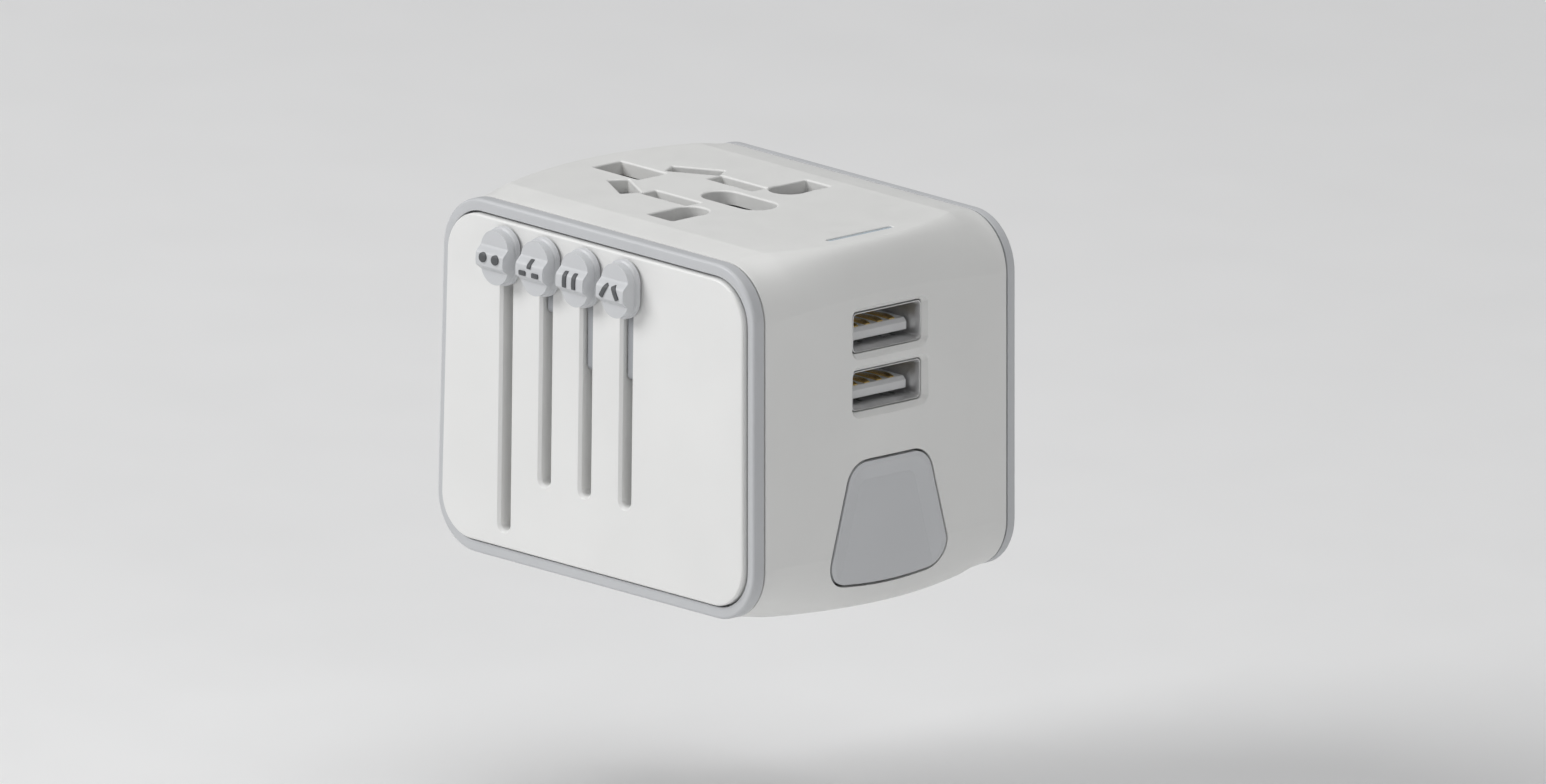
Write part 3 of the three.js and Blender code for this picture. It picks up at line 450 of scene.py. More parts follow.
def blend_colours(material, factor, first, second):
    tree = material.node_tree
    mix = tree.nodes.new("ShaderNodeMix")
    mix.data_type = "RGBA"
    mix.inputs["A"].default_value = (*first, 1)
    mix.inputs["B"].default_value = (*second, 1)
    tree.links.new(factor, mix.inputs["Factor"])
    return mix.outputs["Result"]


def add_bump(material, shader, heights):
    """Chains bump nodes: heights are (source, strength, distance in metres)."""
    tree = material.node_tree
    normal = None
    for source, strength, distance in heights:
        bump = tree.nodes.new("ShaderNodeBump")
        bump.inputs["Strength"].default_value = strength
        bump.inputs["Distance"].default_value = distance
        tree.links.new(source, bump.inputs["Height"])
        if normal:
            tree.links.new(normal, bump.inputs["Normal"])
        normal = bump.outputs["Normal"]
    tree.links.new(normal, shader.inputs["Normal"])


def moulded_plastic(name, colour, roughness=0.42, grain=4200, relief=0.22, tint=0.96):
    """Spark-eroded texture, slow tone variation, and faint scuffs that only change the gloss."""
    material, shader = node_material(name, colour, roughness)
    tree = material.node_tree
    tone = spread(material, noise(material, scale=55, detail=2.0), 0, 1)
    darker = tuple(c * tint for c in colour)
    tree.links.new(blend_colours(material, tone, colour, darker), shader.inputs["Base Color"])
    scuffs = noise(material, scale=240, detail=6.0, stretch=(1, 1, 5), roughness=0.7)
    gloss = spread(material, scuffs, roughness - 0.05, roughness + 0.1, start=0.35, end=0.75)
    tree.links.new(gloss, shader.inputs["Roughness"])
    fine = noise(material, scale=grain, detail=2.0)
    waves = noise(material, scale=90, detail=1.0)
    add_bump(material, shader, [(waves, 0.08, 0.0002), (fine, relief, 0.00002)])
    shader.inputs["IOR"].default_value = 1.5
    return material


def plated_metal(name, colour, roughness, stretch=(1, 1, 14), wear=0.08):
    """Bright plate with drawn scratches along the part and a patchy, slightly dulled finish."""
    material, shader = node_material(name, colour, roughness, 1.0)
    tree = material.node_tree
    patches = noise(material, scale=320, detail=4.0)
    darker = tuple(c * 0.82 for c in colour)
    tone = spread(material, patches, 0, 1)
    tree.links.new(blend_colours(material, tone, colour, darker), shader.inputs["Base Color"])
    scratches = noise(material, scale=2600, detail=4.0, stretch=stretch, roughness=0.6)
    gloss = spread(material, scratches, roughness, roughness + wear * 2)
    tree.links.new(gloss, shader.inputs["Roughness"])
    add_bump(material, shader, [(scratches, 0.12, 0.00002)])
    return material


def light_guide():
    material, shader = node_material("frosted_lens", (0.72, 0.85, 0.95), 0.22)
    shader.inputs["Transmission Weight"].default_value = 0.35
    shader.inputs["IOR"].default_value = 1.49
    milky = noise(material, scale=900, detail=3.0)
    pale = blend_colours(material, spread(material, milky, 0, 1), (0.72, 0.85, 0.95), (0.82, 0.9, 0.97))
    material.node_tree.links.new(pale, shader.inputs["Base Color"])
    add_bump(material, shader, [(milky, 0.1, 0.00003)])
    return material


def circuit_board():
    """Green solder mask with the faint relief of the copper tracks beneath it."""
    material, shader = node_material("circuit_board", (0.02, 0.16, 0.06), 0.35)
    tree = material.node_tree
    tracks = noise(material, scale=420, detail=0.0, stretch=(1, 4, 1))
    edges = spread(material, tracks, 0, 1, start=0.48, end=0.52)
    colour = blend_colours(material, edges, (0.02, 0.13, 0.05), (0.04, 0.24, 0.09))
    tree.links.new(colour, shader.inputs["Base Color"])
    add_bump(material, shader, [(edges, 0.3, 0.00004)])
    return material


WHITE = moulded_plastic("white_plastic", (0.80, 0.80, 0.785), 0.42)
PANEL_WHITE = moulded_plastic("panel_plastic", (0.82, 0.82, 0.81), 0.34, 6000, 0.12)
TRIM = moulded_plastic("trim_plastic", (0.56, 0.57, 0.585), 0.4)
SLIDER = moulded_plastic("slider_plastic", (0.6, 0.61, 0.625), 0.36, 5000, 0.15)
MARK = moulded_plastic("mark_plastic", (0.09, 0.095, 0.1), 0.5, 5200, 0.2, 0.8)
INNER = moulded_plastic("inner_plastic", (0.36, 0.37, 0.39), 0.5)
DARK = moulded_plastic("dark_plastic", (0.018, 0.019, 0.022), 0.45, 4800, 0.2, 0.7)
SLEEVE = moulded_plastic("sleeve_plastic", (0.03, 0.03, 0.032), 0.5, 5200, 0.2, 0.7)
CERAMIC = moulded_plastic("fuse_ceramic", (0.72, 0.69, 0.62), 0.6, 2600, 0.3, 0.9)
NICKEL = plated_metal("nickel_plate", (0.68, 0.67, 0.64), 0.2)
USB_METAL = plated_metal("usb_shell_plate", (0.82, 0.82, 0.82), 0.36, (14, 1, 1))
TONGUE = moulded_plastic("tongue_plastic", (0.78, 0.785, 0.79), 0.4, 5200, 0.2)
GOLD = plated_metal("contact_gold", (0.83, 0.6, 0.24), 0.2, (14, 1, 1))
BRASS = plated_metal("contact_brass", (0.75, 0.55, 0.24), 0.28)
STEEL = plated_metal("zinc_steel", (0.42, 0.42, 0.44), 0.34, (1, 1, 1))
LENS = light_guide()
BOARD = circuit_board()

# CAD pieces that stay in view as they are, by finish.
KEPT_CAD = [
    (INNER, ["socket_core", "uk_plug_carrier", "us_plug_carrier", "au_plug_carrier"]),
    (DARK, ["transformer", "capacitor"]),
    (BOARD, ["usb_board"]),
    (CERAMIC, ["fuse"]),
    (BRASS, ["live_contact", "neutral_contact", "earth_contact", "fuse_clip_left", "fuse_clip_right"]),
    (STEEL, ["release_spring_right", "release_spring_left"]),
]
for finish, node_names in KEPT_CAD:
    for node_name in node_names:
        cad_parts[node_name].material_slots[0].material = finish


# -------------------- body section
def face_height(y):
    slope = (FACE_HEIGHT - EDGE_HEIGHT) / (HALF_DEPTH - FACE_HALF_DEPTH)
    return FACE_HEIGHT - slope * max(0, abs(y) - FACE_HALF_DEPTH)


def face_half_width(y):
    def bowed(at):
        return FACE_HALF_WIDTH - FACE_EDGE_RADIUS + math.sqrt(FACE_EDGE_RADIUS ** 2 - at ** 2)
    depth = abs(y)
    if depth <= FACE_HALF_DEPTH:
        return bowed(depth)
    share = (depth - FACE_HALF_DEPTH) / (HALF_DEPTH - FACE_HALF_DEPTH)
    return bowed(FACE_HALF_DEPTH) * (1 - share) + (HALF_WIDTH - CORNER_RADIUS) * share


def swell(y):
    return 1 - (y / HALF_DEPTH) ** 2


def side_x(y, z):
    """The side face's distance from the middle, before the rounded edges begin."""
    return HALF_WIDTH + SIDE_BULGE * swell(y) - DRAFT * z


def quarter(across, up, crease, steps):
    """Points (c, s) of a quarter turn from (1, 0) to (0, 1) that leaves both ends at a crease."""
    low = math.atan(math.tan(crease) * up / across)
    high = math.pi / 2 - math.atan(math.tan(crease) * across / up)
    turns = [low + (high - low) * k / steps for k in range(steps + 1)]
    c0, c1 = math.cos(low), math.cos(high)
    s0, s1 = math.sin(low), math.sin(high)
    return [((math.cos(t) - c1) / (c0 - c1), (math.sin(t) - s0) / (s1 - s0)) for t in turns]


def section(y, side, top, corner_x, upper, lower, crease=0.0, steps=18):
    """A drafted, four-cornered section, counter-clockwise seen from the front."""
    def corner(sign, start, height):
        turn = quarter(side - corner_x, abs(height - start), crease, steps)
        points = [(corner_x + (side - corner_x) * c, start + (height - start) * s) for c, s in turn]
        return [(sign * (x - DRAFT * z), y, z) for x, z in points]
    low_right = corner(1, -lower, -top)[::-1]
    high_right = corner(1, upper, top)
    high_left = corner(-1, upper, top)[::-1]
    low_left = corner(-1, -lower, -top)
    return low_right + high_right + high_left + low_left


def body_section(y, inset=0.0):
    """The creases fade out towards the covers, whose edges are round."""
    fade = max(0.0, min(1.0, (HALF_DEPTH - abs(y)) / CREASE_FADE))
    return section(
        y, HALF_WIDTH + SIDE_BULGE * swell(y) - inset, face_height(y) - inset,
        face_half_width(y) - inset / 2, TANGENT_HEIGHT + TANGENT_RISE * swell(y), TANGENT_HEIGHT,
        CREASE * fade,
    )


def cover_section(y, half_width, half_height, radius):
    level = half_height - radius
    return section(y, half_width, half_height, half_width - radius, level, level)


def on_body_crease(point):
    """True along the lines where the flat faces and the side faces meet the rounded edges."""
    x, y, z = point
    near = 0.02
    if abs(y) > HALF_DEPTH - 1.0:
        return False
    if abs(abs(z) - face_height(y)) < near:
        on_side = abs(abs(x) - (face_half_width(y) - DRAFT * z)) < near
        on_ramp = abs(abs(y) - FACE_HALF_DEPTH) < near
        return on_side or on_ramp
    tangent = TANGENT_HEIGHT + (TANGENT_RISE * swell(y) if z > 0 else 0)
    return abs(abs(z) - tangent) < near and abs(x) > side_x(y, z) - 0.1


# -------------------- places of the openings
def on_top(u, v, depth):
    return (u, v, FACE_HEIGHT - depth)


def on_base(u, v, depth):
    return (u, v, depth - FACE_HEIGHT)


def on_side(sign):
    return lambda u, v, depth: (sign * (side_x(u, v) - depth), u, v)


RIM = round_over(0.3)
FINE_RIM = round_over(0.15, 3)
FACE_CUT = WALL + OVER


def flat_outline(shape, sign=1, **changes):
    """The outline of an opening or a flat pin on one side of the middle, seen from above."""
    shape = {"y": 0, "slant": 0, **shape, **changes}
    place = (shape["x"], sign * shape["y"])
    return rounded_rectangle(
        place, shape["width"], shape["height"], shape["radius"], shape["steps"], sign * shape["slant"])


def socket_outlines():
    """The openings for the plugs that go in."""
    outlines = [flat_outline(EARTH_OPENING), flat_outline(CENTRE_OPENING)]
    for sign in (-1, 1):
        outlines += [flat_outline(AU_OPENING, sign), flat_outline(US_OPENING, sign), keyhole(sign)]
    return outlines


def keyhole(sign):
    """A round pin opening that runs on into a rectangular one."""
    x, radius, near, far, half, soft = KEYHOLE.values()
    start = math.degrees(math.acos(half / radius))
    ball = arc((x, near), radius, 180 - start, 360 + start, 28)
    right, left = x + half, x - half
    points = [(right, far - soft), (right - soft, far), (left + soft, far), (left, far - soft), *ball]
    if sign > 0:
        return points
    return [(u, -v) for u, v in reversed(points)]


def eu_base_outline():
    """An elongated octagon with soft corners."""
    tip, half, flat, reach, radius = 3, 6.85, 12.5, 17.5, 1.5
    corners = [(tip, -reach), (half, -flat), (half, flat), (tip, reach)]
    corners += [(-u, -v) for u, v in corners]
    return rounded_polygon([(EU_X + u, v, radius) for u, v in corners])


def plug_holes():
    """The openings in the plug face, one for each pin or base that comes out."""
    outlines = [eu_base_outline(), flat_outline(UK_EARTH, steps=4)]
    for sign in (-1, 1):
        outlines.append(flat_outline(UK_LIVE, sign, steps=4))
        for blade in (US_BLADE, AU_BLADE):
            outlines.append(flat_outline(blade, sign, radius=BLADE_HOLE_RADIUS))
    return [grown(outline, GAP) for outline in outlines]


def release_outline(grow=0.0, run_out=0.0, top_radius=None):
    """The button's outline (y, z). A run-out stretches its foot down along its slanted sides."""
    lean = (RELEASE["low_half"] - RELEASE["top_half"]) / (RELEASE["top"] - RELEASE["low"])
    side = grow * math.sqrt(1 + lean * lean)

    def half_at(z):
        return RELEASE["top_half"] + lean * (RELEASE["top"] - z) + side
    high = RELEASE["top"] + grow
    corner = RELEASE["corner"] - grow - run_out
    foot = RELEASE["bottom"] - grow - run_out
    low_radius = RELEASE["run_out_radius"] if run_out else RELEASE["low_radius"] + grow
    high_radius = top_radius or RELEASE["radius"] + grow
    return rounded_polygon([
        (half_at(corner), corner, low_radius), (half_at(high), high, high_radius),
        (-half_at(high), high, high_radius), (-half_at(corner), corner, low_radius),
        (0, foot, RELEASE["bottom_radius"]),
    ], 10)


USB_FUNNEL = [*round_over(0.2, 3), *((-USB_FUNNEL_INSET, level) for level in USB_FUNNEL_LEVELS)]
LENS_X = middle_of("indicator_lens").x


# -------------------- housing
def stations(reach, count):
    return [-reach + 2 * reach * k / count for k in range(count + 1)]


def make_housing():
    middle = EDGE_MIDDLE * SOFT_EDGE
    rim = 0.9
    edge = [
        (HALF_DEPTH, rim), (HALF_DEPTH, SOFT_EDGE), (HALF_DEPTH - middle, middle),
        (HALF_DEPTH - SOFT_EDGE, 0),
    ]
    inner_rows = sorted([*stations(FACE_HALF_DEPTH, 8), -HALF_DEPTH, HALF_DEPTH])
    ramp_rows = [sign * y for y in RAMP_ROWS for sign in (-1, 1)]
    outer_rows = sorted([*stations(FACE_HALF_DEPTH, 36), *ramp_rows])
    rings = [body_section(-y, inset) for y, inset in edge]
    rings += [body_section(y) for y in outer_rows]
    rings += [body_section(y, inset) for y, inset in reversed(edge)]
    rings += [body_section(y, WALL) for y in reversed(inner_rows)]
    shell = solid("housing_shell", rings, closed=True)
    tools = [carver(outline, on_top, RIM, FACE_CUT) for outline in socket_outlines()]
    tools += [carver(outline, on_base, FINE_RIM, FACE_CUT) for outline in plug_holes()]
    window = rounded_rectangle((LENS_X, 0), *LENS_WINDOW, 6)
    tools.append(carver(window, on_top, FINE_RIM, FACE_CUT))
    for z in USB_PLACES.values():
        mouth = rounded_rectangle((0, z), *USB_MOUTH)
        tools.append(carver(mouth, on_side(1), USB_FUNNEL, THROUGH))
    for sign in (-1, 1):
        tools.append(carver(release_outline(RELEASE_GAP), on_side(sign), FINE_RIM, THROUGH))
    boolean(shell, tools)
    make_piece(shell, WHITE, "root", ["housing"], 30, on_body_crease)


# -------------------- front and rear covers
def cover_levels(facing):
    band = HALF_DEPTH + COVER_BAND[facing]
    ledge = band + COVER_ROUND
    return {"rim": HALF_DEPTH + SEAM, "band": band, "ledge": ledge, "face": ledge + PANEL_PROUD}


def shrunk(outline, distance):
    """A cover's outline (half width, half height, radius) moved inwards."""
    return tuple(size - distance for size in outline)


def rounded_edge(level, radius, steps=6):
    """(position, inward) pairs of a quarter round that starts at a level."""
    turns = quarter_turns(steps)[1:]
    return [(level + radius * math.sin(t), radius * (1 - math.cos(t))) for t in turns]


def make_bezel(name, facing):
    level = cover_levels(facing)
    rim, ledge = level["rim"], level["ledge"]
    soft = 0.1
    middle = EDGE_MIDDLE * soft
    bend = EDGE_MIDDLE * SOFT_EDGE
    seam = [(rim, SOFT_EDGE), (rim + bend, bend), (rim + SOFT_EDGE, 0)]
    outside = [*seam, (level["band"], 0), *rounded_edge(level["band"], COVER_ROUND)]
    window = shrunk(PANEL, -GAP)
    spigot = shrunk(COVER, WALL + GAP)
    hollow = shrunk(spigot, SPIGOT_WALL)
    inside = [
        (ledge, shrunk(window, -soft)), (ledge - middle, shrunk(window, -middle)),
        (ledge - soft, window), (rim + WEB, window), (rim + WEB, hollow),
        (rim - SPIGOT_DEPTH, hollow), (rim - SPIGOT_DEPTH, spigot), (rim, spigot),
    ]
    rings = [cover_section(facing * y, *shrunk(COVER, inward)) for y, inward in outside]
    rings += [cover_section(facing * y, *size) for y, size in inside]
    bezel = solid(name + "_frame", rings, closed=True)
    if facing > 0:
        boolean(bezel, screw_carvers(SCREW_HOLE, COVER_BORE))
    make_piece(bezel, TRIM, "root", [name])


def panel_blank(name, facing):
    level = cover_levels(facing)
    back = level["rim"] + WEB + GAP
    edge = level["face"] - PANEL_EDGE
    boss = shrunk(COVER, WALL + SPIGOT_WALL + 2 * GAP)
    path = [(back - BOSS_DEPTH, boss), (back, boss), (back, PANEL), (edge, PANEL)]
    path += [(y, shrunk(PANEL, inward)) for y, inward in rounded_edge(edge, PANEL_EDGE)]
    return solid(name, [cover_section(facing * y, *size) for y, size in path])


PANEL_FACE = -cover_levels(-1)["face"]
SLOT_CHAMFER = [(0.42, 0.0), (0.38, 0.03), (0.03, 0.38), (0.0, 0.45)]


def into_front(u, v, depth):
    return (u, PANEL_FACE + depth, v)


def make_front_panel():
    panel = panel_blank("front_panel_plate", -1)
    tools = []
    for name, bottom in SLOT_BOTTOMS.items():
        place = (SLIDER_X[name], (SLOT_TOP + bottom) / 2)
        radius = SLOT_WIDTH / 2 - TINY
        slot = rounded_rectangle(place, SLOT_WIDTH, SLOT_TOP - bottom, radius, 12)
        tools.append(carver(slot, into_front, SLOT_CHAMFER, THROUGH))
    boolean(panel, tools)
    make_piece(panel, PANEL_WHITE, "root", ["front_panel"])


def screw_places():
    return [(sx * SCREW_X, sz * SCREW_Z) for sx, sz in ((1, 1), (-1, 1), (-1, -1), (1, -1))]


def screw_carvers(radius, depth, rim=((0, -1.0), (0, 0))):
    """Tools that bore the four screw holes from the rear face."""
    face = cover_levels(1)["face"]

    def into_rear(u, v, d):
        return (u, face - d, v)
    return [carver(circle(place, radius), into_rear, rim, depth) for place in screw_places()]


def make_rear_panel():
    panel = panel_blank("rear_panel_plate", 1)
    boolean(panel, screw_carvers(SCREW_HEAD + GAP, SCREW_HEAD_DEPTH + GAP, round_over(0.2)))
    boolean(panel, screw_carvers(SCREW_HOLE, PANEL_BORE))
    make_piece(panel, PANEL_WHITE, "root", ["rear_panel"])


def make_screws():
    """Pan heads with a cross recess, each one turned differently."""
    soft = 0.1
    arm, width = SCREW_CROSS["long"], SCREW_CROSS["short"]
    sink = [(0, 0), (-SCREW_CROSS["taper"], SCREW_CROSS["depth"])]
    for i, (x, z) in enumerate(screw_places()):
        low, high = extent(f"case_screw_{i + 1}")
        top = high.y
        seat = top - SCREW_HEAD_DEPTH
        shank = SCREW_SHANK - SCREW_HEAD
        levels = [(low.y, shank), (seat, shank), (seat, -soft / 2), (seat + soft, 0)]
        for t in quarter_turns(6):
            drop = SCREW_CROWN["height"] * (1 - math.sin(t))
            levels.append((top - drop, -SCREW_CROWN["inset"] * (1 - math.cos(t))))
        screw = solid_along(f"screw_{i + 1}", "y", circle((x, z), SCREW_HEAD, 40), levels)

        def into_head(u, v, depth):
            return (u, top - depth, v)
        cross = []
        turn = SCREW_CROSS["turn"] * i
        for wide, tall in ((arm, width), (width, arm)):
            outline = rounded_rectangle((x, z), wide, tall, SCREW_CROSS["radius"], 3, turn)
            cross.append(carver(outline, into_head, sink, SCREW_CROSS["depth"] + soft))
        boolean(screw, cross)
        make_piece(screw, STEEL, "root", [f"case_screw_{i + 1}"])


# -------------------- slider buttons
def button_profile(face):
    """Side outline (y, z) of the cap: a flat thumb rest with one raised ridge."""
    low = face - BUTTON_THICKNESS
    high = face - RIDGE_THICKNESS
    back = face + OVER
    start, end = RIDGE_RISE
    rise = []
    for k in range(9):
        share = k / 8
        y = low + (high - low) * (1 - math.cos(math.pi * share)) / 2
        rise.append((y, start + (end - start) * share))
    crest = []
    for k in range(1, 7):
        share = k / 6
        crown = RIDGE_CROWN * math.sin(math.pi * share)
        crest.append((high - crown, end + (RIDGE_LOW - end) * share))
    above = BUTTON_TOP + OVER
    below = BUTTON_BOTTOM - OVER
    return [(back, below), (back, above), (low, above), *rise, *crest, (low, RIDGE_CREASE), (low, below)]


def across_slider(x):
    return [(edge, 0) for edge in around(x, PAST_SLIDER)]


def make_slider(name):
    x = SLIDER_X[name]
    body = f"{name}_plug"
    height = BUTTON_TOP - BUTTON_BOTTOM
    middle = BUTTON_BOTTOM + height / 2
    pill = rounded_rectangle((x, middle), BUTTON_WIDTH, height, BUTTON_WIDTH / 2 - TINY, 20)
    back = PANEL_FACE - SEAM
    front = PANEL_FACE - BUTTON_FLANGE
    soft = 0.1
    lip = [(front + behind, offset) for behind, offset in FLANGE_LIP]
    levels = [(back, -soft), (back - soft, 0), *lip]
    flange = solid_along(f"slider_{name}_flange", "y", pill, levels)
    cap = solid_along(f"slider_{name}_cap", "y", pill, [
        (front + soft, -BUTTON_STEP), (PANEL_FACE - PAST_SLIDER, -BUTTON_STEP - CAP_TAPER)])
    wedge = solid_along("wedge", "x", button_profile(PANEL_FACE), across_slider(x))
    boolean(cap, [wedge], "INTERSECT")
    soften(cap, CAP_ROUND, 5, 50)
    make_piece(cap, SLIDER, body, [], 25)
    make_piece(flange, SLIDER, body, [f"slider_{name}"], 25)


def mark_shapes(name, x, z):
    """Raised pictures of each plug's pins, in place of lettering."""
    thin, radius, sides = 0.7, 0.12, (-1, 1)
    if name == "eu":
        apart, ball = 1.25, 0.72
        return [circle((x + side * apart, z), ball, 28) for side in sides]
    if name == "uk":
        apart, rise, drop, long = 1.3, 0.75, 0.7, 1.3
        earth = rounded_rectangle((x, z + rise), thin, long, radius, 3)
        return [earth, *(
            rounded_rectangle((x + side * apart, z - drop), long, thin, radius, 3) for side in sides)]
    if name == "us":
        apart, long = 0.95, 2.3
        return [rounded_rectangle((x + side * apart, z), thin, long, radius, 3) for side in sides]
    apart, long, slant = 1.15, 2.2, 30
    return [
        rounded_rectangle((x + side * apart, z), thin, long, radius, 3, side * slant) for side in sides]


def make_mark(name):
    """Each mark stands the same height above the cap, so it follows the ridge."""
    x = SLIDER_X[name]
    levels = [(PANEL_FACE - 2, 0), (PANEL_FACE - PAST_SLIDER, 0)]
    profile = button_profile(PANEL_FACE - MARK_PROUD)
    for i, outline in enumerate(mark_shapes(name, x, MARK_Z)):
        mark = solid_along(f"slider_{name}_mark_{i + 1}", "y", outline, levels)
        skin = solid_along("skin", "x", profile, across_slider(x))
        boolean(mark, [skin], "INTERSECT")
        soften(mark, 0.06, 2, 60)
        make_piece(mark, MARK, f"{name}_plug")


# -------------------- release buttons
def make_release(side, sign):
    """The housing's own skin cut to the button's outline, with a flat dish sunk into it."""
    rows = stations(RELEASE_SPAN, 40)
    blank = solid(f"release_{side}_button", [body_section(y) for y in rows])
    outline = release_outline()
    prism = solid("prism", [
        [(sign * x, u, v) for u, v in outline] for x in (RELEASE_BACK, RELEASE_OUTSIDE)])
    boolean(blank, [prism], "INTERSECT")
    wide = release_outline(-RELEASE_RIM, RELEASE_RUN_OUT)
    deep = release_outline(-RELEASE_BEVEL, RELEASE_RUN_OUT, RELEASE["dish_radius"])
    middle = -14
    reach = (side_x(0, middle) - RELEASE_DISH) * RELEASE_SLOPE
    ahead, flare = RELEASE_FLARE
    slope = [
        (RELEASE_DISH, deep), (RELEASE_DISH + reach, wide),
        (RELEASE_DISH + reach + ahead, grown(wide, flare)),
    ]
    dish = solid("dish", [[(sign * x, u, v) for u, v in ring] for x, ring in slope])
    boolean(blank, [dish])
    depth = sorted(sign * x for x in RELEASE_RAIL["x"])
    rail = block("rail", depth, RELEASE_RAIL["y"], RELEASE_RAIL["z"])
    boolean(blank, [rail], "UNION")
    soften(blank, 0.1, 2, 50)
    make_piece(blank, SLIDER, f"{side}_release", [f"release_button_{side}"], 8)


# -------------------- USB ports
def make_usb(name, z):
    """A shell with a flared mouth, four spring tabs in its windows, and the tongue."""
    low, high = extent(f"usb_shell_{name}")
    front, back = high.x, low.x
    outer = rounded_rectangle((0, z), USB_WIDTH, USB_HEIGHT, USB_CORNER, 6)
    lip = [(front - behind, offset) for behind, offset in USB_LIP]
    inner = -USB_FLARE - USB_WALL
    inside = [(front - USB_FLARE_DEPTH, inner), (back + USB_BACK_WALL, inner)]
    levels = [(back, -USB_FLARE), *lip, *inside]
    shell = solid_along(f"usb_{name}_shell", "x", outer, levels)
    windows = []
    along = (front - USB_WINDOW["far"], front - USB_WINDOW["near"])
    for y in USB_WINDOWS:
        across = around(y, USB_WINDOW["half"])
        for side in (-1, 1):
            wall = around(z + side * USB_HEIGHT / 2, USB_WINDOW["tool"])
            windows.append(block("window", along, across, wall))
    boolean(shell, windows)
    make_piece(shell, USB_METAL, "root", [f"usb_shell_{name}"])
    for y in USB_WINDOWS:
        for side in (-1, 1):
            depth_word = "front" if y < 0 else "rear"
            height_word = "top" if side > 0 else "base"
            make_spring(f"usb_{name}_spring_{depth_word}_{height_word}", front, y, z, side)
    make_tongue(name, z, front, back)


def make_spring(name, front, y, z, side):
    """A tab bent inwards out of the shell's wall, so that it presses on the plug."""
    wall_z = z + side * (USB_HEIGHT / 2 - USB_FLARE - USB_WALL / 2)
    rings = []
    for k in range(17):
        share = k / 16
        x = front - SPRING["start"] + SPRING["length"] * share
        dip = SPRING["dip"] * math.sin(math.pi * min(1, share * SPRING_LIFT)) * share
        half = SPRING["half"] - SPRING["taper"] * share
        rings.append(strip_ring(x, y, half, *around(wall_z - side * dip, SPRING["thick"] / 2)))
    make_piece(solid(name, rings), USB_METAL, "root", [], 40)


def strip_ring(x, y, half, low, high):
    """The four corners of a strip's section."""
    return [(x, y - half, low), (x, y + half, low), (x, y + half, high), (x, y - half, high)]


def make_tongue(name, z, front, back):
    middle = z - TONGUE_DROP
    tip = front - TONGUE_SET_BACK
    root = back + TONGUE_ROOT
    base = middle - TONGUE_HEIGHT / 2
    top = middle + TONGUE_HEIGHT / 2
    chamfer = [(tip, top - TONGUE_CHAMFER), (tip - TONGUE_CHAMFER, top)]
    outline = [(root, base), (tip, base), *chamfer, (root, top)]
    levels = [(-TONGUE_HALF, 0), (TONGUE_HALF, 0)]
    tongue = solid_along(f"usb_{name}_tongue", "y", outline, levels)
    soften(tongue, 0.1, 3, 35)
    make_piece(tongue, TONGUE, "root", [f"usb_tongue_{name}"], 25)
    start = root + CONTACT["start"]
    end = tip - CONTACT["end"]
    for i, y in enumerate(CONTACT_ROWS):
        rings = []
        for k in range(13):
            share = k / 12
            x = start + (end - start) * share
            rise = CONTACT["rise"] + CONTACT["bow"] * math.sin(math.pi * share ** 3)
            rings.append(strip_ring(x, y, CONTACT["half"], top - CONTACT["sunk"], top + rise))
        contact = solid(f"usb_{name}_contact_{i + 1}", rings)
        make_piece(contact, GOLD, "root", [])


# -------------------- indicator window
def make_lens():
    low, high = extent("indicator_lens")
    outline = rounded_rectangle((LENS_X, 0), *LENS_BAR)
    height, inset = LENS_CROWN["height"], LENS_CROWN["inset"]
    turns = quarter_turns(5)
    crown = [(high.z - height * (1 - math.sin(t)), -inset * (1 - math.cos(t))) for t in turns]
    lens = solid_along("indicator_light_guide", "z", outline, [(low.z, 0), *crown])
    make_piece(lens, LENS, "root", ["indicator_lens"])


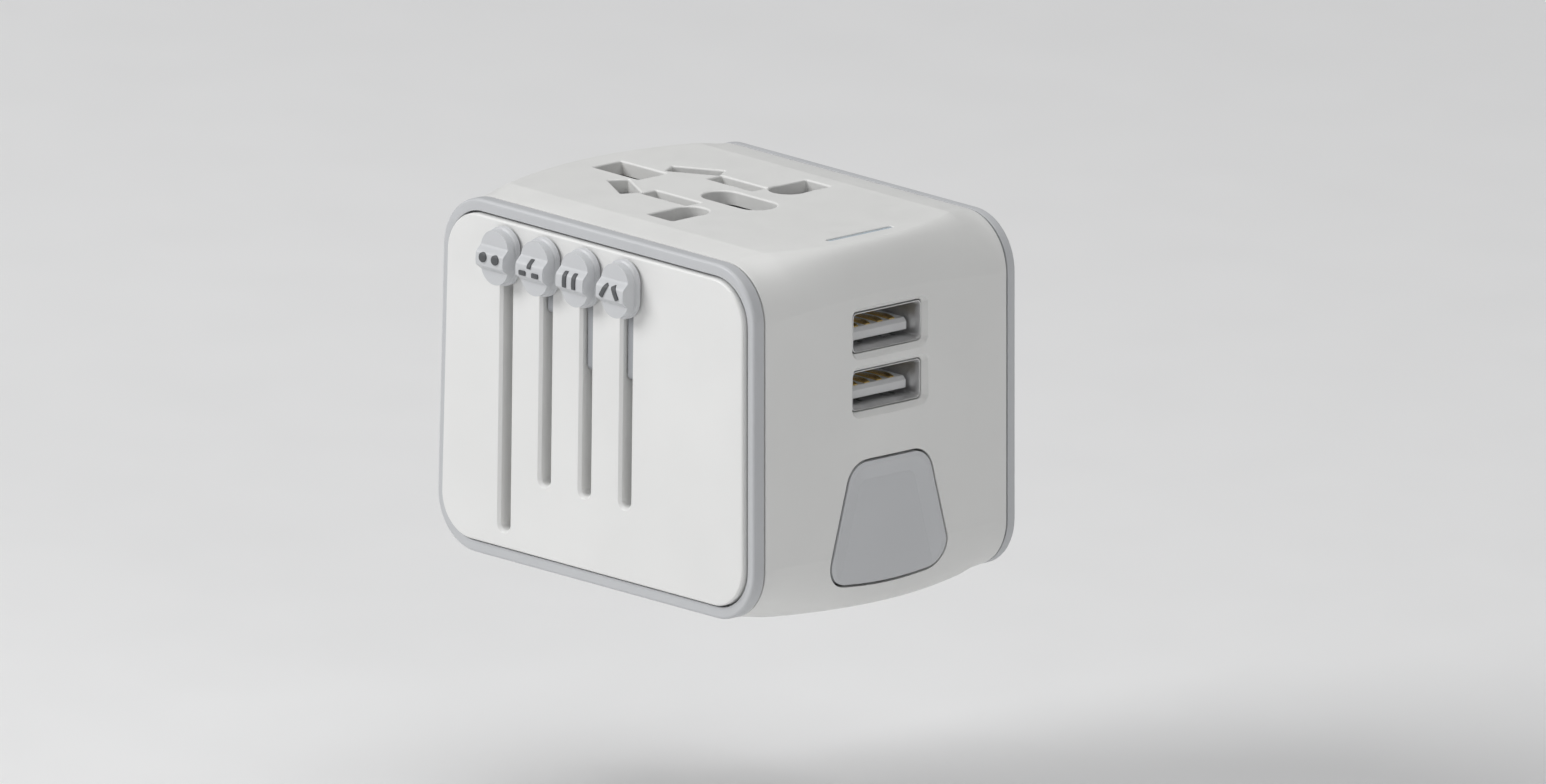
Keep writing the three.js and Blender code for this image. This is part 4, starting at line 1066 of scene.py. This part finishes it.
# -------------------- European plug base
def make_eu_base():
    """The hollow base, with its flange, the arm over the rim and the stem that runs in the slot."""
    low, high = extent("eu_plug_base")
    bottom = low.z
    rim = bottom + EU_HEIGHT
    foot = [
        (bottom + EU_FOOT_ROUND * (1 - math.sin(t)), -EU_FOOT_ROUND * (1 - math.cos(t)))
        for t in reversed(quarter_turns(5))
    ]
    soft = 0.1
    flange = [
        (rim - EU_RIM, 0), (rim - EU_RIM + soft / 2, EU_FLANGE - soft / 2),
        (rim - EU_RIM + soft, EU_FLANGE), (rim - soft, EU_FLANGE), (rim, EU_FLANGE - soft),
    ]
    pocket = [(rim, soft - EU_WALL), (rim - soft, -EU_WALL), (bottom + EU_FLOOR, -EU_WALL)]
    levels = foot + flange + pocket
    base = solid_along("eu_base", "z", eu_base_outline(), levels)
    x = SLIDER_X["eu"]
    front = low.y
    across = around(x, EU_ARM["half"])
    arm = block("arm", across, EU_ARM["y"], (rim - EU_RIM, rim + EU_ARM["rise"]))
    upright = block("upright", across, EU_UPRIGHT["y"], (rim - EU_RIM, EU_UPRIGHT["top"]))
    end, back, turn, bend = (EU_STEM[key] for key in ("bottom", "back", "round", "round_middle"))
    blade = [(back, end), (back, high.z), (front, high.z), (front, end + turn)]
    blade += [(front + bend, end + bend), (front + turn, end)]
    sides = [(edge, 0) for edge in around(x, EU_STEM["half"])]
    stem = solid_along("stem", "x", blade, sides)
    for piece in (arm, upright, stem):
        boolean(base, [piece], "UNION")
    depth = (front - OVER, front + EU_NOTCH["depth"])
    tools = [block("notch", around(x, EU_NOTCH["half"]), depth, EU_NOTCH["z"])]
    for y in (-EU_PIN_Y, EU_PIN_Y):
        levels = [(bottom - OVER, 0), (bottom + EU_FLOOR + OVER, 0)]
        tools.append(solid_along("hole", "z", circle((EU_X, y), EU_PIN_HOLE, 40), levels))
    boolean(base, tools)
    make_piece(base, TRIM, "eu_plug", ["eu_plug_base"], 30)


# -------------------- plug pins
def pin_levels(tip, top, point):
    """(height, offset) levels of a pin whose tip is rounded over its last stretch."""
    inset = 0.75 * point
    turns = reversed(quarter_turns(6))
    nose = [(tip + point * (1 - math.sin(t)), -inset * (1 - math.cos(t))) for t in turns]
    return [*nose, (top, 0)]


def make_pin(node, outline, plug, material, sleeve=None, hole=None):
    """A pin with a head inside its carrier, and where they are given its sleeve and its hole."""
    low, high = extent(node)
    tip = low.z
    neck = high.z - PIN_HEAD
    body = f"{plug}_plug"
    levels = pin_levels(tip, neck, TIP_ROUND[plug])
    pin = solid_along(node + "_metal", "z", outline, levels)
    wide = grown(outline, PIN_HEAD_GROW)
    head = solid_along(node + "_head", "z", wide, [(neck, 0), (high.z, 0)])
    boolean(pin, [head], "UNION")
    if hole:
        boolean(pin, [hole(tip)])
    make_piece(pin, material, body, [node], 28)
    if sleeve:
        start, end = (tip + level for level in sleeve)
        ring = [(start, 0.0), (start + SLEEVE_RAMP, SLEEVE_PROUD), (end, SLEEVE_PROUD)]
        cover = solid_along(node + "_sleeve", "z", outline, ring)
        make_piece(cover, SLEEVE, body, [])


def us_hole(sign):
    """Makes the round locking hole near the tip of an American blade."""
    def tool(tip):
        outline = circle((US_BLADE["x"], tip + US_HOLE["rise"]), US_HOLE["radius"], 32)
        levels = [(y, 0) for y in around(sign * US_BLADE["y"], US_HOLE["reach"])]
        return solid_along("hole", "y", outline, levels)
    return tool


def make_pins():
    for side, sign in (("front", -1), ("rear", 1)):
        round_pin = circle((EU_X, sign * EU_PIN_Y), EU_PIN_RADIUS)
        make_pin(f"eu_pin_{side}", round_pin, "eu", NICKEL, SLEEVES["eu"])
        make_pin(f"uk_live_pin_{side}", flat_outline(UK_LIVE, sign), "uk", BRASS, SLEEVES["uk"])
        make_pin(f"us_blade_{side}", flat_outline(US_BLADE, sign), "us", NICKEL, hole=us_hole(sign))
        make_pin(f"au_blade_{side}", flat_outline(AU_BLADE, sign), "au", NICKEL, SLEEVES["au"])
    make_pin("uk_earth_pin", flat_outline(UK_EARTH), "uk", BRASS)


# -------------------- assembly
make_housing()
make_bezel("front_bezel", -1)
make_bezel("rear_bezel", 1)
make_front_panel()
make_rear_panel()
make_screws()
for plug_name in SLOT_BOTTOMS:
    make_slider(plug_name)
    make_mark(plug_name)
make_release("right", 1)
make_release("left", -1)
for port_name, port_z in USB_PLACES.items():
    make_usb(port_name, port_z)
make_lens()
make_eu_base()
make_pins()


# -------------------- floor, light and camera
# The studio is laid out in metres, in the frame's own axes. The drawing is seen along a line that
# has VIEW_RIGHT to its right and VIEW_BACK towards the viewer.
FLOOR_LEVEL = -0.0365
FLOOR_REACH = 3.0
LIGHT_AIM = (0, 0, 0.02)
VIEW_RIGHT = Vector((0.68207, 0.73119, 0.01134))
VIEW_BACK = Vector((0.70676, -0.66310, 0.24652))
FRAME_WIDTH = 0.2181
AIM_RIGHT = 0.006207
AIM_DOWN = 0.001763
CAMERA_DISTANCE = 1.0


def make_floor():
    material, shader = node_material("studio_floor", (0.86, 0.86, 0.86), 0.7)
    tree = material.node_tree
    speckle = spread(material, noise(material, scale=60, detail=3.0), 0.65, 0.75)
    tree.links.new(speckle, shader.inputs["Roughness"])
    clear = tree.nodes.new("ShaderNodeBsdfTransparent")
    mix = tree.nodes.new("ShaderNodeMixShader")
    geometry = tree.nodes.new("ShaderNodeNewGeometry")
    output = tree.nodes["Material Output"]
    tree.links.new(geometry.outputs["Backfacing"], mix.inputs["Fac"])
    tree.links.new(shader.outputs["BSDF"], mix.inputs[1])
    tree.links.new(clear.outputs["BSDF"], mix.inputs[2])
    tree.links.new(mix.outputs["Shader"], output.inputs["Surface"])
    mesh = bpy.data.meshes.new("studio_floor")
    corners = [(x * FLOOR_REACH, y * FLOOR_REACH) for x, y in ((-1, -1), (1, -1), (1, 1), (-1, 1))]
    mesh.from_pydata([(x, y, FLOOR_LEVEL) for x, y in corners], [], [(0, 1, 2, 3)])
    mesh.materials.append(material)
    floor = bpy.data.objects.new("studio_floor", mesh)
    bpy.context.scene.collection.objects.link(floor)


def make_light(name, place, size, power):
    light = bpy.data.lights.new(name, "AREA")
    light.shape = "DISK"
    light.size = size
    light.energy = power
    lamp = bpy.data.objects.new(name, light)
    lamp.location = place
    lamp.rotation_mode = "QUATERNION"
    lamp.rotation_quaternion = (Vector(LIGHT_AIM) - Vector(place)).to_track_quat("-Z", "Y")
    bpy.context.scene.collection.objects.link(lamp)


def make_world():
    world = bpy.data.worlds.new("studio")
    world.use_nodes = True
    backdrop = world.node_tree.nodes["Background"]
    backdrop.inputs["Color"].default_value = (0.95, 0.96, 0.98, 1)
    backdrop.inputs["Strength"].default_value = 0.16
    bpy.context.scene.world = world
    bpy.context.scene.view_settings.view_transform = "Standard"


def make_camera():
    centre = Vector((0, 0, FACE_HEIGHT * MM))
    right = VIEW_RIGHT.normalized()
    back = (VIEW_BACK - right * VIEW_BACK.dot(right)).normalized()
    up = back.cross(right)
    camera = bpy.data.cameras.new("camera")
    camera.type = "ORTHO"
    camera.ortho_scale = FRAME_WIDTH
    camera.clip_start = 0.01
    camera.clip_end = 20
    holder = bpy.data.objects.new("camera", camera)
    place = centre + right * AIM_RIGHT - up * AIM_DOWN + back * CAMERA_DISTANCE
    turned = Matrix((right, up, back)).transposed().to_4x4()
    holder.matrix_world = Matrix.Translation(place) @ turned
    bpy.context.scene.collection.objects.link(holder)
    bpy.context.scene.camera = holder


make_floor()
make_world()
make_light("key_light", (-0.75, -1.15, 0.95), size=1.0, power=17)
make_light("top_light", (0.1, 0.1, 1.7), size=1.7, power=14)
make_light("fill_light", (1.5, -0.5, 0.5), size=0.6, power=3.0)
make_camera()
